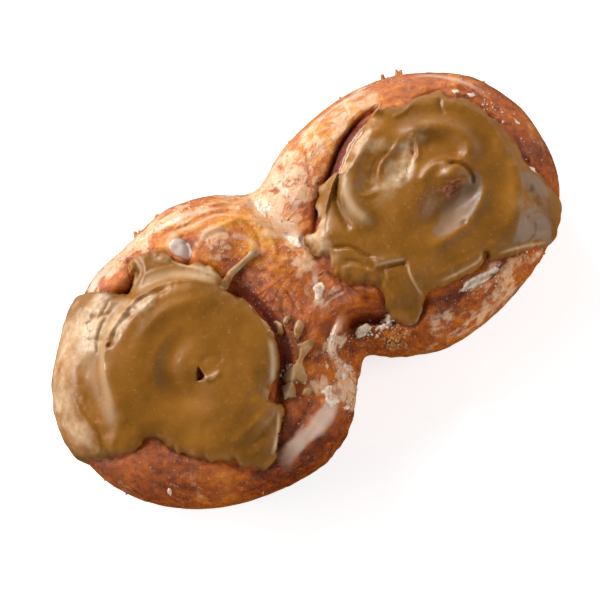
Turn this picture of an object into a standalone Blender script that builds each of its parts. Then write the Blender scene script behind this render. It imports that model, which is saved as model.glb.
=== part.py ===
"""Bowtie pastry: a strip of yeast dough rolled from both ends into two coils that meet
at a waist, fried brown, with a cinnamon filling between its turns and a thick maple
icing on each coil. Sizes are in millimetres here and become metres in the meshes."""

import bmesh
import bpy
import numpy as np

# Driving sizes, in mm. X runs along the pastry, Z is up, and z = 0 is its resting face.
EQUATOR = 17.0           # height of the widest line round the side
WRAP_TOP = 30.5          # crest of the outer turn
TOP_ROUNDING = 15.0      # plan width of the rounding above the equator
BASE_ROUNDING = 12.5     # plan width of the rounding below the equator
ROUNDING_POWER = 2.1     # 2 is an ellipse, more is squarer
LEAST_RISE = 4.0         # the upper face's least height above the equator
DOUGH_CELL = 1.5         # spacing of the dough's skin as it is first worked out
ICING_CELL = 1.3         # the same for an icing and its scraps
DOUGH_FACES = 7200       # triangles left in the dough
ICING_FACES = 2600       # triangles left in an icing before it is cut to the dough
SCRAP_FACES = 260
REMESH_SIZE = 1.2        # voxel size of the evened surface
GAP = 0.3                # clearance between pieces that touch
ICING_DEPTH = 4.5        # how far the icing's raw form reaches into the dough before the cut
FILLING_WIDTH = 2.0
FILLING_FLOOR = 7.0      # the filling's lower edge above the resting face
FILLING_RISE = 0.35      # how far it stands out of the bottom of its crease
SLOT_TOP = 45.0          # above everything, so that the filling's slot is open
WAIST_X = 1.0
WAIST_DIP = 2.0
WAIST_REACH = 13.0
SLOW_WAVES = (0.7, 26.0) # height and wavelength of the dough's slow unevenness
QUICK_WAVES = (0.2, 9.0) # the same for its quick unevenness
ICING_WAVES = (0.16, 8.0)
NOISE_SEED = 7
METRES = 0.001

# Plan outline of the dough at the equator, counterclockwise from the right end.
OUTLINE = [
    (77.9, 2.5), (76.2, 12.7), (71.8, 22.2), (63.9, 29.5), (53.8, 35.4), (41.9, 38.3),
    (29.1, 38.3), (16.1, 35.8), (3.3, 30.9), (-7.2, 37.1), (-20.2, 40.9), (-33.9, 38.9),
    (-48.2, 36.2), (-61.8, 26.8), (-72.3, 15.8), (-77.0, 1.5), (-75.4, -11.9),
    (-68.5, -23.8), (-56.9, -33.6), (-42.4, -39.5), (-26.0, -41.7), (-13.9, -37.4),
    (-5.5, -29.4), (1.2, -24.1), (8.0, -29.4), (20.1, -35.3), (36.0, -35.9),
    (52.9, -32.2), (65.7, -25.5), (74.9, -13.6),
]

# The inner coil of each end: its plan outline, how far it stands above the outer turn,
# the stretch of angle (degrees, about its centre) where the crease round it is open, the
# angle where it sank into the outer turn and the share of its rise lost there, and how
# wide the crease is outside and inside the outline.
COILS = {
    "left": {
        "outline": [(-17.0, -1.0), (-18.6, -12.0), (-25.5, -20.5), (-36.0, -26.4),
                    (-50.0, -24.0), (-60.5, -13.0), (-63.5, 2.0), (-57.0, 15.5),
                    (-43.0, 21.6), (-30.0, 19.2), (-20.6, 10.5)],
        "centre": (-39.7, -5.6), "rise": 4.2, "open_from": -50.0, "open_to": 40.0,
        "sunk_at": 205.0, "sunk": 0.85, "crease": (3.2, 0.9),
    },
    "right": {
        "outline": [(65.0, 2.0), (62.0, 13.0), (54.0, 22.5), (42.0, 27.2), (31.0, 25.6),
                    (21.5, 20.0), (10.5, 11.5), (5.0, 2.0), (7.0, -9.0), (13.0, -19.0),
                    (24.0, -24.0), (38.0, -25.6), (51.0, -24.2), (61.5, -16.0)],
        "centre": (38.0, 0.4), "rise": 4.0, "open_from": 84.0, "open_to": 160.0,
        "sunk_at": 290.0, "sunk": 0.9, "crease": (1.2, 2.4),
    },
}
OPEN_CREASE = 2.7        # depth of a crease where it shows
CLOSED_CREASE = 1.4      # depth of a crease that the icing bridges
CREASE_SLOPE = 4.5       # plan width of the slope on each side of it
CREASE_SHARES = (0.2, 0.8)   # shares of the depth in that slope and in its narrow part
COIL_SHOULDER = 8.0      # plan width of the rounding at a coil's edge
SUNK_REACH = 16.0        # how far into a coil its sunken side reaches

# Creases in the outer turn: route in plan, depth and half width.
CREASES = [
    ([(12.0, -20.6), (8.2, -19.4), (5.6, -17.2), (3.0, -16.2), (0.0, -16.4)], 4.6, 1.5),
    ([(2.4, 31.0), (0.2, 25.0), (0.8, 17.0), (3.0, 10.0)], 2.0, 1.6),
    ([(-46.5, 25.6), (-40.5, 25.0), (-36.0, 28.5), (-36.5, 34.0)], 2.6, 1.2),
    ([(-21.6, 28.0), (-22.4, 24.5), (-25.5, 21.5)], 1.6, 1.0),
]
# The turns as they show on the underside: a spiral groove at each end, from near the
# waist inward, by its plan centre, radii, first angle in degrees and number of turns.
UNDERSIDE_SPIRALS = [
    ((-38.0, 0.0), 33.0, 9.0, -42.0, 1.7),
    ((38.0, 1.0), 33.0, 9.0, 138.0, 1.7),
]
UNDERSIDE_GROOVE = 2.6   # depth of that groove
UNDERSIDE_WIDTH = 1.8    # its half width

# Swellings in the dough, and hollows where negative: plan centre, height, reach along X and Y.
SWELLINGS = [
    ((-42.2, 30.5), 2.4, (7.0, 4.5)),
    ((-16.5, 21.0), 1.8, (6.0, 6.0)),
    ((-8.0, 6.0), 1.4, (7.0, 16.0)),
    ((24.0, 32.5), 1.0, (14.0, 5.0)),
    ((7.0, -25.5), -4.0, (12.0, 7.0)),
    ((18.0, -28.5), 1.2, (7.0, 3.0)),
    ((-1.0, -20.6), -2.2, (4.4, 3.0)),
    ((42.0, -7.0), -2.4, (7.5, 4.6)),
    ((9.0, -27.0), 1.4, (5.0, 2.6)),
]

# Each icing: plan outline, the lowest it hangs on the side, its thickness, and the relief
# of its top. Strokes are drawn along a plan route, with their height and half width: a
# ridge stands on both sides of the route, and a bank or a hollow rises or falls to its
# left, from a crisp edge or from a soft one. Knobs have a plan centre, height and reach.
ICINGS = {
    "left": {
        "outline": [(-19.6, 7.0), (-18.0, 2.0), (-17.7, -3.0), (-18.6, -9.0), (-22.0, -15.6),
                    (-29.0, -20.8), (-27.2, -24.2), (-31.0, -28.6), (-35.2, -33.0), (-38.0, -34.6),
                    (-42.0, -34.2), (-44.8, -31.6), (-46.5, -28.4), (-51.0, -24.4), (-55.5, -18.6),
                    (-59.5, -11.0), (-64.0, -10.2), (-69.0, -9.6), (-74.0, -6.4), (-80.5, -1.0),
                    (-88.0, 6.0), (-84.0, 24.0), (-68.0, 40.0), (-56.0, 37.0), (-49.0, 30.0),
                    (-43.0, 25.0), (-39.2, 26.0), (-37.2, 31.6), (-33.5, 32.2), (-28.6, 28.2),
                    (-27.0, 23.2), (-22.4, 19.6), (-19.4, 13.4), (-21.4, 10.4)],
        "hang": 11.0, "thickness": 2.3,
        "strokes": [
            ("hollow", -1.3, 4.0, [(-30.0, 6.6), (-35.0, 8.0), (-40.0, 8.0), (-45.4, 6.4),
                                   (-49.6, 2.6), (-51.6, -3.0), (-50.4, -9.6), (-46.4, -15.0),
                                   (-41.0, -18.0)]),
            ("bank", 0.8, 3.6, [(-20.6, 5.0), (-24.0, 12.0), (-31.0, 15.6), (-38.0, 17.0),
                                (-46.0, 15.6), (-54.0, 12.0), (-59.6, 5.0), (-61.4, -2.0),
                                (-61.0, -8.0)]),
            ("ridge", 0.4, 1.4, [(-25.0, 12.4), (-32.0, 16.0), (-40.0, 17.4), (-48.0, 15.6),
                                 (-55.5, 11.6)]),
            ("ridge", -0.9, 2.4, [(-60.0, 18.0), (-64.5, 12.7), (-65.8, 8.1), (-67.2, 3.1),
                                  (-68.3, -1.6), (-69.0, -7.0)]),
            ("ridge", 0.5, 2.4, [(-58.6, 12.4), (-61.0, 6.0), (-62.8, 0.0), (-63.4, -6.0)]),
            ("ridge", 0.5, 1.4, [(-47.0, -26.0), (-41.0, -30.5), (-36.6, -30.0), (-31.0, -25.4)]),
            ("ridge", -0.5, 1.8, [(-44.0, -24.6), (-38.0, -22.4), (-31.0, -22.6)]),
        ],
        "knobs": [((-40.4, -5.8), -1.4, (1.6, 1.8))],
    },
    "right": {
        "outline": [(67.6, -2.4), (67.4, 2.6), (66.2, 7.2), (65.4, 11.4), (63.6, 15.6),
                    (60.2, 18.0), (60.0, 20.6), (57.0, 21.8), (53.0, 22.6), (48.4, 22.8),
                    (44.6, 24.4), (41.0, 26.2), (37.0, 24.0), (31.8, 21.6), (27.2, 19.6),
                    (23.8, 17.6), (21.6, 18.6), (18.6, 18.8), (14.6, 16.2), (11.4, 11.6),
                    (9.0, 9.2), (5.0, 9.6), (5.2, 3.4), (7.0, 1.0), (5.6, -3.0), (8.0, -8.6),
                    (12.8, -13.6), (12.6, -18.0), (12.4, -21.8), (13.4, -25.2), (15.2, -26.2),
                    (17.6, -25.4), (20.4, -23.4), (23.0, -22.2), (29.1, -23.4), (37.8, -24.6),
                    (41.4, -23.0), (42.2, -25.2), (47.8, -26.8), (56.0, -28.8), (62.0, -31.2),
                    (69.6, -24.4), (68.0, -16.6), (66.4, -9.4)],
        "hang": 16.5, "thickness": 2.3,
        "strokes": [
            ("ridge", 1.7, 2.4, [(39.0, 15.4), (44.8, 14.5), (48.2, 13.3), (51.0, 11.5),
                                 (53.3, 9.0), (54.5, 6.1), (54.7, 2.1), (53.9, -2.6)]),
            ("ridge", -1.3, 2.2, [(44.6, 10.6), (47.7, 10.2), (50.0, 7.8), (51.4, 4.4),
                                  (51.6, 0.4)]),
            ("ridge", -0.8, 2.8, [(38.0, 20.0), (45.0, 19.5), (50.5, 17.5), (55.5, 13.5),
                                  (58.8, 7.5), (59.2, 0.0), (57.5, -6.0)]),
            ("bank", -1.7, 5.6, [(24.0, -11.4), (29.0, -12.6), (34.2, -13.0), (37.6, -12.8),
                                 (41.6, -12.3), (45.6, -11.0), (49.6, -9.0), (51.6, -7.2),
                                 (53.4, -3.4)]),
            ("ridge", 0.9, 1.6, [(28.6, -13.0), (33.6, -14.6), (38.0, -14.6), (42.4, -14.0),
                                 (46.4, -12.6), (50.8, -10.2), (53.6, -6.6)]),
            ("bank", -1.2, 5.0, [(31.0, 0.6), (36.0, 2.8), (39.2, 5.4), (42.4, 8.0),
                                 (44.2, 10.8), (45.0, 14.0)]),
            ("ridge", 1.5, 2.2, [(40.0, 22.4), (34.0, 20.2), (28.0, 17.6), (23.6, 15.0),
                                 (20.8, 11.4), (20.0, 7.0), (20.2, 2.6), (20.8, -1.6)]),
            ("ridge", 1.0, 2.6, [(63.0, -6.0), (61.0, -11.4), (57.4, -16.2), (53.6, -20.2),
                                 (47.6, -23.4)]),
            ("bank", -1.8, 8.0, [(64.4, -7.0), (62.2, -11.2), (58.7, -16.6), (54.8, -20.8),
                                 (48.4, -24.6)]),
            ("ridge", 0.5, 1.6, [(61.6, -6.0), (63.0, 2.0), (61.6, 10.0), (56.0, 18.0)]),
        ],
        "knobs": [((46.8, -1.4), 3.2, (4.4, 3.6)), ((44.6, -4.8), -2.2, (2.2, 1.5)),
                  ((26.6, 10.4), -1.3, (3.4, 3.4)), ((31.0, -2.0), 0.7, (6.0, 6.0))],
    },
}
HANG_WAVES = (2.6, 12.0) # unevenness of the edge where an icing hangs, and its wavelength
HANG_CORNER = 5.0        # rounding of that edge's corners
ICING_LIP = 1.1          # plan width of the steep part of an icing's edge
LIP_SHARES = (0.4, 0.6)  # shares of the thickness in that part and in the slope behind it
LIP_SLOPE = 7.7          # plan width of the slope behind it
THINNEST_ICING = 0.9
BRIDGING = 3.5           # how far the icing evens out what it bridges, as an area in mm2

# A loose scrap of the left icing on the waist.
SCRAP = {
    "outline": [(-9.6, -14.1), (-10.0, -15.7), (-12.3, -16.7), (-14.4, -17.2), (-15.9, -18.2),
                (-16.6, -19.7), (-17.3, -22.8), (-19.4, -23.0), (-20.4, -21.6), (-23.0, -20.4),
                (-23.4, -18.6), (-21.5, -17.1), (-17.9, -17.2), (-16.1, -16.4), (-14.8, -15.1),
                (-14.5, -13.5), (-13.1, -13.7)],
    "hang": 20.0, "thickness": 1.9, "strokes": [], "knobs": [],
}

# Colour, roughness and metallic value of each material.
LOOKS = {
    "fried_dough": ((0.42, 0.13, 0.035), 0.32, 0.0),
    "cinnamon_filling": ((0.11, 0.018, 0.008), 0.45, 0.0),
    "maple_icing": ((0.27, 0.115, 0.022), 0.38, 0.0),
}


def smooth_line(points, closed, per_span=8):
    """A line through the points, rounded as a Catmull-Rom curve."""
    points = np.array(points, float)
    if closed:
        padded = np.vstack([points[-1:], points, points[:2]])
    else:
        padded = np.vstack([2 * points[0] - points[1], points, 2 * points[-1] - points[-2]])
    line = []
    for before, start, end, after in zip(padded, padded[1:], padded[2:], padded[3:]):
        for t in np.arange(per_span) / per_span:
            line.append(0.5 * (2 * start + (end - before) * t
                               + (2 * before - 5 * start + 4 * end - after) * t ** 2
                               + (3 * start - before - 3 * end + after) * t ** 3))
    if not closed:
        line.append(points[-1])
    return np.array(line)


def distance_to_line(x, y, line):
    """Plan distance to a line, how far along it that is, 0 to 1, and which side: +1 is left."""
    nearest = np.full(x.shape, np.inf)
    along = np.zeros(x.shape)
    side = np.ones(x.shape)
    spans = len(line) - 1
    for number, (start, end) in enumerate(zip(line, line[1:])):
        step = end - start
        dx = x - start[0]
        dy = y - start[1]
        t = np.clip((dx * step[0] + dy * step[1]) / (step @ step), 0, 1)
        distance = np.hypot(dx - t * step[0], dy - t * step[1])
        closer = distance < nearest
        nearest = np.where(closer, distance, nearest)
        along = np.where(closer, (number + t) / spans, along)
        side = np.where(closer, np.sign(step[0] * dy - step[1] * dx), side)
    return nearest, along, side


def depth_inside(x, y, outline):
    """Plan distance to a closed outline, positive inside it."""
    line = smooth_line(outline, closed=True)
    ring = np.vstack([line, line[:1]])
    distance = distance_to_line(x, y, ring)[0]
    inside = np.zeros(x.shape, bool)
    for start, end in zip(ring, ring[1:]):
        spans = (start[1] > y) != (end[1] > y)
        rise = end[1] - start[1]
        crossing = start[0] + (y - start[1]) * (end[0] - start[0]) / (rise if rise else 1.0)
        inside ^= spans & (x < crossing)
    return np.where(inside, distance, -distance)


def unevenness(x, y, wavelength, seed):
    """Smooth seeded lumps between -1 and 1, about one to each wavelength."""
    lattice = np.random.default_rng(seed).uniform(-1, 1, (64, 64))
    u = x / wavelength + 31.5
    v = y / wavelength + 31.5
    i = np.floor(u).astype(int)
    j = np.floor(v).astype(int)
    s = (u - i) ** 2 * (3 - 2 * (u - i))
    t = (v - j) ** 2 * (3 - 2 * (v - j))
    low = lattice[i, j] * (1 - s) + lattice[i + 1, j] * s
    high = lattice[i, j + 1] * (1 - s) + lattice[i + 1, j + 1] * s
    return low * (1 - t) + high * t


def shoulder(distance, width):
    """Rise from 0 to 1 over the width, steep first and then rounded over."""
    t = np.clip(distance / width, 0, 1)
    return np.sqrt(1 - (1 - t) ** 2)


def smooth_least(a, b, width):
    """The lesser of two fields, rounded over where they cross."""
    share = np.clip(0.5 + 0.5 * (b - a) / width, 0, 1)
    return b + (a - b) * share - width * share * (1 - share)


def bump(x, y, centre, reach):
    """A round hump of height 1 at a plan centre."""
    return np.exp(-((x - centre[0]) / reach[0]) ** 2 - ((y - centre[1]) / reach[1]) ** 2)


def openness(x, y, coil):
    """1 where the crease round a coil shows and 0 where the icing bridges it."""
    angle = np.degrees(np.arctan2(y - coil["centre"][1], x - coil["centre"][0]))
    middle = (coil["open_from"] + coil["open_to"]) / 2
    half = (coil["open_to"] - coil["open_from"]) / 2
    away = np.abs((angle - middle + 180) % 360 - 180)
    return np.clip((half + 12 - away) / 24, 0, 1)


def sunken_side(x, y, coil):
    """0 all round a coil, but up to 1 on the side where it sank into the outer turn."""
    angle = np.arctan2(y - coil["centre"][1], x - coil["centre"][0]) - np.radians(coil["sunk_at"])
    return np.clip(np.cos(angle), 0, 1) ** 1.5


def waves(x, y, sizes, seed):
    """Unevenness of a given height and wavelength."""
    height, wavelength = sizes
    return height * unevenness(x, y, wavelength, seed)


def top_height(x, y):
    """Height of the dough's upper face, before its edge is rounded down."""
    z = WRAP_TOP + waves(x, y, SLOW_WAVES, NOISE_SEED) + waves(x, y, QUICK_WAVES, NOISE_SEED + 1)
    z = z - WAIST_DIP * np.exp(-((x - WAIST_X) / WAIST_REACH) ** 2)
    for coil in COILS.values():
        inside = depth_inside(x, y, coil["outline"])
        shown = openness(x, y, coil)
        kept = 1 - coil["sunk"] * sunken_side(x, y, coil) * np.exp(-(inside / SUNK_REACH) ** 2)
        z = z + coil["rise"] * kept * shoulder(inside, COIL_SHOULDER)
        deep = CLOSED_CREASE * kept + (OPEN_CREASE - CLOSED_CREASE) * shown
        slope = np.clip(1 - np.abs(inside) / CREASE_SLOPE, 0, 1) ** 2
        outer, inner = coil["crease"]
        cleft = np.clip(1 - np.where(inside < 0, -inside / outer, inside / inner), 0, 1) ** 0.7
        z = z - deep * (CREASE_SHARES[0] * slope + CREASE_SHARES[1] * cleft * shown)
    for route, deep, half_width in CREASES:
        distance, along, _ = distance_to_line(x, y, smooth_line(route, closed=False))
        fade = np.clip(np.minimum(along, 1 - along) * 5 + 0.25, 0, 1)
        z = z - deep * fade * np.exp(-(distance / half_width) ** 2)
    for centre, height, reach in SWELLINGS:
        z = z + height * bump(x, y, centre, reach)
    return z


def spiral(centre, start_radius, end_radius, start_angle, turns):
    """Plan points of a spiral that winds inward counterclockwise."""
    t = np.linspace(0, 1, int(14 * turns))
    angle = np.radians(start_angle) + 2 * np.pi * turns * t
    radius = start_radius + (end_radius - start_radius) * t
    return np.stack([centre[0] + radius * np.cos(angle), centre[1] + radius * np.sin(angle)], 1)


def base_height(x, y):
    """Height of the dough's underside: 0, but for the grooves between its turns."""
    z = np.zeros(x.shape)
    for sizes in UNDERSIDE_SPIRALS:
        line = smooth_line(spiral(*sizes), closed=False, per_span=3)
        distance, along, _ = distance_to_line(x, y, line)
        fade = np.clip((1 - along) * 3, 0, 1)
        z = np.maximum(z, UNDERSIDE_GROOVE * fade * np.exp(-(distance / UNDERSIDE_WIDTH) ** 2) - 0.1)
    return z


def plan_grid(low, high, cell):
    """Plan points and heights of a grid of cells."""
    axes = [np.arange(low[k], high[k] + cell, cell) for k in range(3)]
    x, y = np.meshgrid(axes[0], axes[1], indexing="ij")
    return x, y, axes[2]


def dough_field(x, y, heights, top):
    """Signed field of the dough on a grid, in about mm: negative inside."""
    inside = depth_inside(x, y, OUTLINE)[:, :, None]
    z = heights[None, None, :]
    above = z > EQUATOR
    rounding = np.where(above, TOP_ROUNDING, BASE_ROUNDING)
    upper = np.maximum(top - EQUATOR, LEAST_RISE)[:, :, None]
    lower = (EQUATOR - base_height(x, y))[:, :, None]
    half_height = np.where(above, upper, lower)
    edge = np.maximum(0, 1 - inside / rounding)
    level = np.abs(z - EQUATOR) / half_height
    power = ROUNDING_POWER
    field = (edge ** power + level ** power) ** (1 / power) - 1
    return field * np.minimum(rounding, half_height)


def as_distance(field, cell):
    """A field rescaled so that it grows by 1 for each mm near its zero."""
    slopes = np.gradient(field, cell)
    steepness = np.sqrt(sum(slope ** 2 for slope in slopes))
    return field / np.maximum(steepness, 0.25)


def add_strokes(z, x, y, strokes):
    """Heights with ridges, banks and hollows drawn along their routes, fading at both ends."""
    for kind, height, width, route in strokes:
        distance, along, side = distance_to_line(x, y, smooth_line(route, closed=False, per_span=4))
        fade = np.clip(np.minimum(along, 1 - along) * (6 if kind in ("ridge", "step") else 2.4), 0, 1)
        fade = fade ** 2 * (3 - 2 * fade)
        if kind == "ridge":
            shape = np.exp(-(distance / width) ** 2)
        else:
            far = np.maximum(distance / width - 1, 0)
            near = np.minimum(distance / width, 1)
            near = near if kind == "bank" else near ** 2 * (3 - 2 * near)
            shape = (side > 0) * near * np.exp(-(far / 0.7) ** 2)
        z = z + height * fade * shape
    return z


def icing_thickness(x, y, icing):
    """Thickness of an icing: its own, with the strokes and knobs in its top."""
    thickness = icing["thickness"] + waves(x, y, ICING_WAVES, NOISE_SEED + 2)
    thickness = add_strokes(thickness, x, y, icing["strokes"])
    for centre, height, reach in icing["knobs"]:
        thickness = thickness + height * bump(x, y, centre, reach)
    return np.maximum(thickness, THINNEST_ICING)


def icing_field(x, y, heights, cell, icing):
    """Signed field of an icing, from below the dough's skin up to its own top."""
    smooth_top = top_height(x, y)
    for _ in range(int(BRIDGING / cell ** 2)):
        padded = np.pad(smooth_top, 1, mode="edge")
        smooth_top = np.maximum(smooth_top, (padded[2:, 1:-1] + padded[:-2, 1:-1]
                                             + padded[1:-1, 2:] + padded[1:-1, :-2]) / 4)
    skin = as_distance(dough_field(x, y, heights, smooth_top), cell)
    inside = depth_inside(x, y, icing["outline"])[:, :, None]
    hang = icing["hang"] + waves(x, y, HANG_WAVES, NOISE_SEED + 3)[:, :, None]
    inside = smooth_least(inside, heights[None, None, :] - hang, HANG_CORNER)
    rise = LIP_SHARES[0] * shoulder(inside, ICING_LIP) + LIP_SHARES[1] * shoulder(inside, LIP_SLOPE)
    layer = icing_thickness(x, y, icing)[:, :, None] * rise
    return np.maximum(np.maximum(skin - layer, -ICING_DEPTH - skin), -inside - 0.2)


def surface_net(field, low, cell):
    """Points and quads of the skin where a field on a grid of cells crosses zero."""
    cells = tuple(np.array(field.shape) - 1)
    total = np.zeros((int(np.prod(cells)), 3))
    count = np.zeros(len(total))
    quads = []
    for axis in range(3):
        u = (axis + 1) % 3
        v = (axis + 2) % 3
        near = np.take(field, range(field.shape[axis] - 1), axis)
        far = np.take(field, range(1, field.shape[axis]), axis)
        edges = np.argwhere((near < 0) != (far < 0))
        start = near[tuple(edges.T)]
        end = far[tuple(edges.T)]
        points = edges.astype(float)
        points[:, axis] += start / (start - end)
        corners = []
        for du, dv in ((1, 1), (0, 1), (0, 0), (1, 0)):
            corner = edges.copy()
            corner[:, u] -= du
            corner[:, v] -= dv
            corners.append(np.ravel_multi_index(corner.T, cells))
        for corner in corners:
            np.add.at(total, corner, points)
            np.add.at(count, corner, 1)
        quad = np.stack(corners, 1)
        quads.append(np.where((start < 0)[:, None], quad, quad[:, ::-1]))
    used, quads = np.unique(np.concatenate(quads), return_inverse=True)
    points = np.array(low) + cell * total[used] / count[used][:, None]
    return points, quads.reshape(-1, 4)


def material(name):
    colour, roughness, metallic = LOOKS[name]
    made = bpy.data.materials.new(name)
    made.use_nodes = True
    shader = made.node_tree.nodes["Principled BSDF"]
    shader.inputs["Base Color"].default_value = (*colour, 1)
    shader.inputs["Roughness"].default_value = roughness
    shader.inputs["Metallic"].default_value = metallic
    return made


def add_object(name, points, faces, look):
    """A named object from points in mm, with its own material."""
    mesh = bpy.data.meshes.new(name)
    mesh.from_pydata((np.array(points) * METRES).tolist(), [], [list(face) for face in faces])
    mesh.materials.append(material(look))
    mesh.shade_smooth()
    made = bpy.data.objects.new(name, mesh)
    bpy.context.collection.objects.link(made)
    return made


def add_cutter(name, points, faces):
    """A solid that only cuts others."""
    cutter = add_object(name, points, faces, "fried_dough")
    cutter.hide_render = True
    cutter.display_type = "WIRE"
    return cutter


def cut(target, cutter):
    """Take a cutter's solid out of an object."""
    boolean = target.modifiers.new("cut", "BOOLEAN")
    boolean.operation = "DIFFERENCE"
    boolean.solver = "EXACT"
    boolean.object = cutter


def apply_modifiers(target):
    graph = bpy.context.evaluated_depsgraph_get()
    mesh = bpy.data.meshes.new_from_object(target.evaluated_get(graph))
    target.modifiers.clear()
    target.data = mesh


def keep_largest_body(target):
    """Apply an object's cuts and delete the small scraps that they leave."""
    apply_modifiers(target)
    shape = bmesh.new()
    shape.from_mesh(target.data)
    left = set(shape.verts)
    bodies = []
    while left:
        body = {left.pop()}
        edge = list(body)
        while edge:
            for link in edge.pop().link_edges:
                for vert in link.verts:
                    if vert in left:
                        left.remove(vert)
                        body.add(vert)
                        edge.append(vert)
        bodies.append(body)
    bodies.sort(key=len)
    loose = [vert for body in bodies[:-1] for vert in body]
    bmesh.ops.delete(shape, geom=loose, context="VERTS")
    shape.to_mesh(target.data)
    shape.free()


def ribbon(route, width, floor, tops):
    """Points and faces of an upright ribbon that follows a plan route."""
    route = np.array(route)
    along = np.gradient(route, axis=0)
    along /= np.linalg.norm(along, axis=1)[:, None]
    side = np.stack([-along[:, 1], along[:, 0]], 1) * width / 2
    points = []
    for place, offset, top in zip(route, side, tops):
        for plan, z in ((place - offset, floor), (place + offset, floor),
                        (place + offset, top), (place - offset, top)):
            points.append((*plan, z))
    faces = [(3, 2, 1, 0)]
    for start in range(0, len(points) - 4, 4):
        for k in range(4):
            after = (k + 1) % 4
            faces.append((start + k, start + after, start + 4 + after, start + 4 + k))
    last = len(points) - 4
    faces.append((last, last + 1, last + 2, last + 3))
    return points, faces


def crease_route(coil):
    """The stretch of a coil's outline where its crease is open, as plan points."""
    line = smooth_line(coil["outline"], closed=True)
    angle = np.degrees(np.arctan2(line[:, 1] - coil["centre"][1], line[:, 0] - coil["centre"][0]))
    middle = (coil["open_from"] + coil["open_to"]) / 2
    offset = (angle - middle + 180) % 360 - 180
    order = np.argsort(offset)
    half = (coil["open_to"] - coil["open_from"]) / 2
    return line[[k for k in order if abs(offset[k]) <= half]][::3]


def add_filling(side, dough):
    """The filling in one coil's open crease, and the slot that holds it in the dough."""
    route = crease_route(COILS[side])
    tops = top_height(route[:, 0], route[:, 1]) + FILLING_RISE
    points, faces = ribbon(route, FILLING_WIDTH, FILLING_FLOOR, tops)
    add_object(f"cinnamon_filling_{side}", points, faces, "cinnamon_filling")
    ends = np.array([route[0] * 2 - route[1], route[-1] * 2 - route[-2]])
    reach = GAP / np.linalg.norm(ends - route[[0, -1]], axis=1)[:, None]
    longer = np.vstack([route[0] + (ends[0] - route[0]) * reach[0], route,
                        route[-1] + (ends[1] - route[-1]) * reach[1]])
    slot = ribbon(longer, FILLING_WIDTH + 2 * GAP, FILLING_FLOOR - GAP, np.full(len(longer), SLOT_TOP))
    cutter = add_cutter(f"slot_{side}", *slot)
    cut(dough, cutter)
    return cutter


def thin_out(target, faces):
    """Even out the surface, then merge triangles where it is plain."""
    evening = target.modifiers.new("even_out", "REMESH")
    evening.mode = "VOXEL"
    evening.voxel_size = REMESH_SIZE * METRES
    apply_modifiers(target)
    thinning = target.modifiers.new("thin_out", "DECIMATE")
    thinning.ratio = faces / (2 * len(target.data.polygons))
    thinning.use_collapse_triangulate = True
    apply_modifiers(target)


def add_dough():
    low = (-84.0, -48.0, -1.5 * DOUGH_CELL)
    x, y, heights = plan_grid(low, (84.0, 48.0, 42.0), DOUGH_CELL)
    field = dough_field(x, y, heights, top_height(x, y))
    points, quads = surface_net(field, low, DOUGH_CELL)
    dough = add_object("dough", points, quads, "fried_dough")
    thin_out(dough, DOUGH_FACES)
    for vert in dough.data.vertices:
        if abs(vert.co.z) < 0.25 * METRES:
            vert.co.z = 0.0
    return dough


def add_grown(dough):
    """A cutter a little larger than the dough all over."""
    grown = add_cutter("grown_dough", [(0, 0, 0)], [])
    grown.data = dough.data.copy()
    swell = grown.modifiers.new("swell", "DISPLACE")
    swell.mid_level = 0.0
    swell.strength = GAP * METRES
    return grown


def add_icing(name, icing, faces, cutters):
    """One icing: its raw form less the grown dough and the slots it lies over."""
    outline = np.array(icing["outline"])
    low = (*(outline.min(0) - 4), 6.0)
    high = (*(outline.max(0) + 4), 44.0)
    x, y, heights = plan_grid(low, high, ICING_CELL)
    field = icing_field(x, y, heights, ICING_CELL, icing)
    points, quads = surface_net(field, low, ICING_CELL)
    made = add_object(name, points, quads, "maple_icing")
    thin_out(made, faces)
    for cutter in cutters:
        cut(made, cutter)
    keep_largest_body(made)
    return made


def build():
    for old in list(bpy.data.objects):
        bpy.data.objects.remove(old, do_unlink=True)
    dough = add_dough()
    grown = add_grown(dough)
    slots = [add_filling(side, dough) for side in COILS]
    for side, icing in ICINGS.items():
        add_icing(f"maple_icing_{side}", icing, ICING_FACES, [grown] + slots)
    add_icing("icing_scrap", SCRAP, SCRAP_FACES, [grown] + slots)


build()
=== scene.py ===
"""Bowtie pastry, dressed: fried dough, cinnamon filling, maple icing, sugar glaze, crumbs."""

import math

import bmesh
import bpy
import numpy as np
from mathutils import Euler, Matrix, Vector


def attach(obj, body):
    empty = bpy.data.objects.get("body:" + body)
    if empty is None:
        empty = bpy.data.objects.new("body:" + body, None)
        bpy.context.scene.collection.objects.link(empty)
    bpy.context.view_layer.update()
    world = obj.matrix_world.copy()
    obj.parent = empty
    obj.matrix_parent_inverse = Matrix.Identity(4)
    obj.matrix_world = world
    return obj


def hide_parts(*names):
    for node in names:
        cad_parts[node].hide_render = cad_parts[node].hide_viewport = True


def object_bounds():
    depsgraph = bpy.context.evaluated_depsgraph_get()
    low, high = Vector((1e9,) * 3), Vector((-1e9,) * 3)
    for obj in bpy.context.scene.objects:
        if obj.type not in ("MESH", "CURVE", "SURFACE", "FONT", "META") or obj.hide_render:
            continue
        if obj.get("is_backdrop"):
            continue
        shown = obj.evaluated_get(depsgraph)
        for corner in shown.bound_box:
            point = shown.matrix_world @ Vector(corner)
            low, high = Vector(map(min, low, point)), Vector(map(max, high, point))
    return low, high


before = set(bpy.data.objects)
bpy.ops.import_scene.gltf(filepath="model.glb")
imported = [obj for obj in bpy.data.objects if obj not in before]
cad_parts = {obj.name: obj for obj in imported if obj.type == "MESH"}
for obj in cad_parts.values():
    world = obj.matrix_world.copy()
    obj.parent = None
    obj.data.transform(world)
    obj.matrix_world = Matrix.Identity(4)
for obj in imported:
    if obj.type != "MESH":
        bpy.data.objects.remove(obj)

cad_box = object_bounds()
MM = 0.001               # the pastry is worked out in millimetres, meshes are in metres

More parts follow.
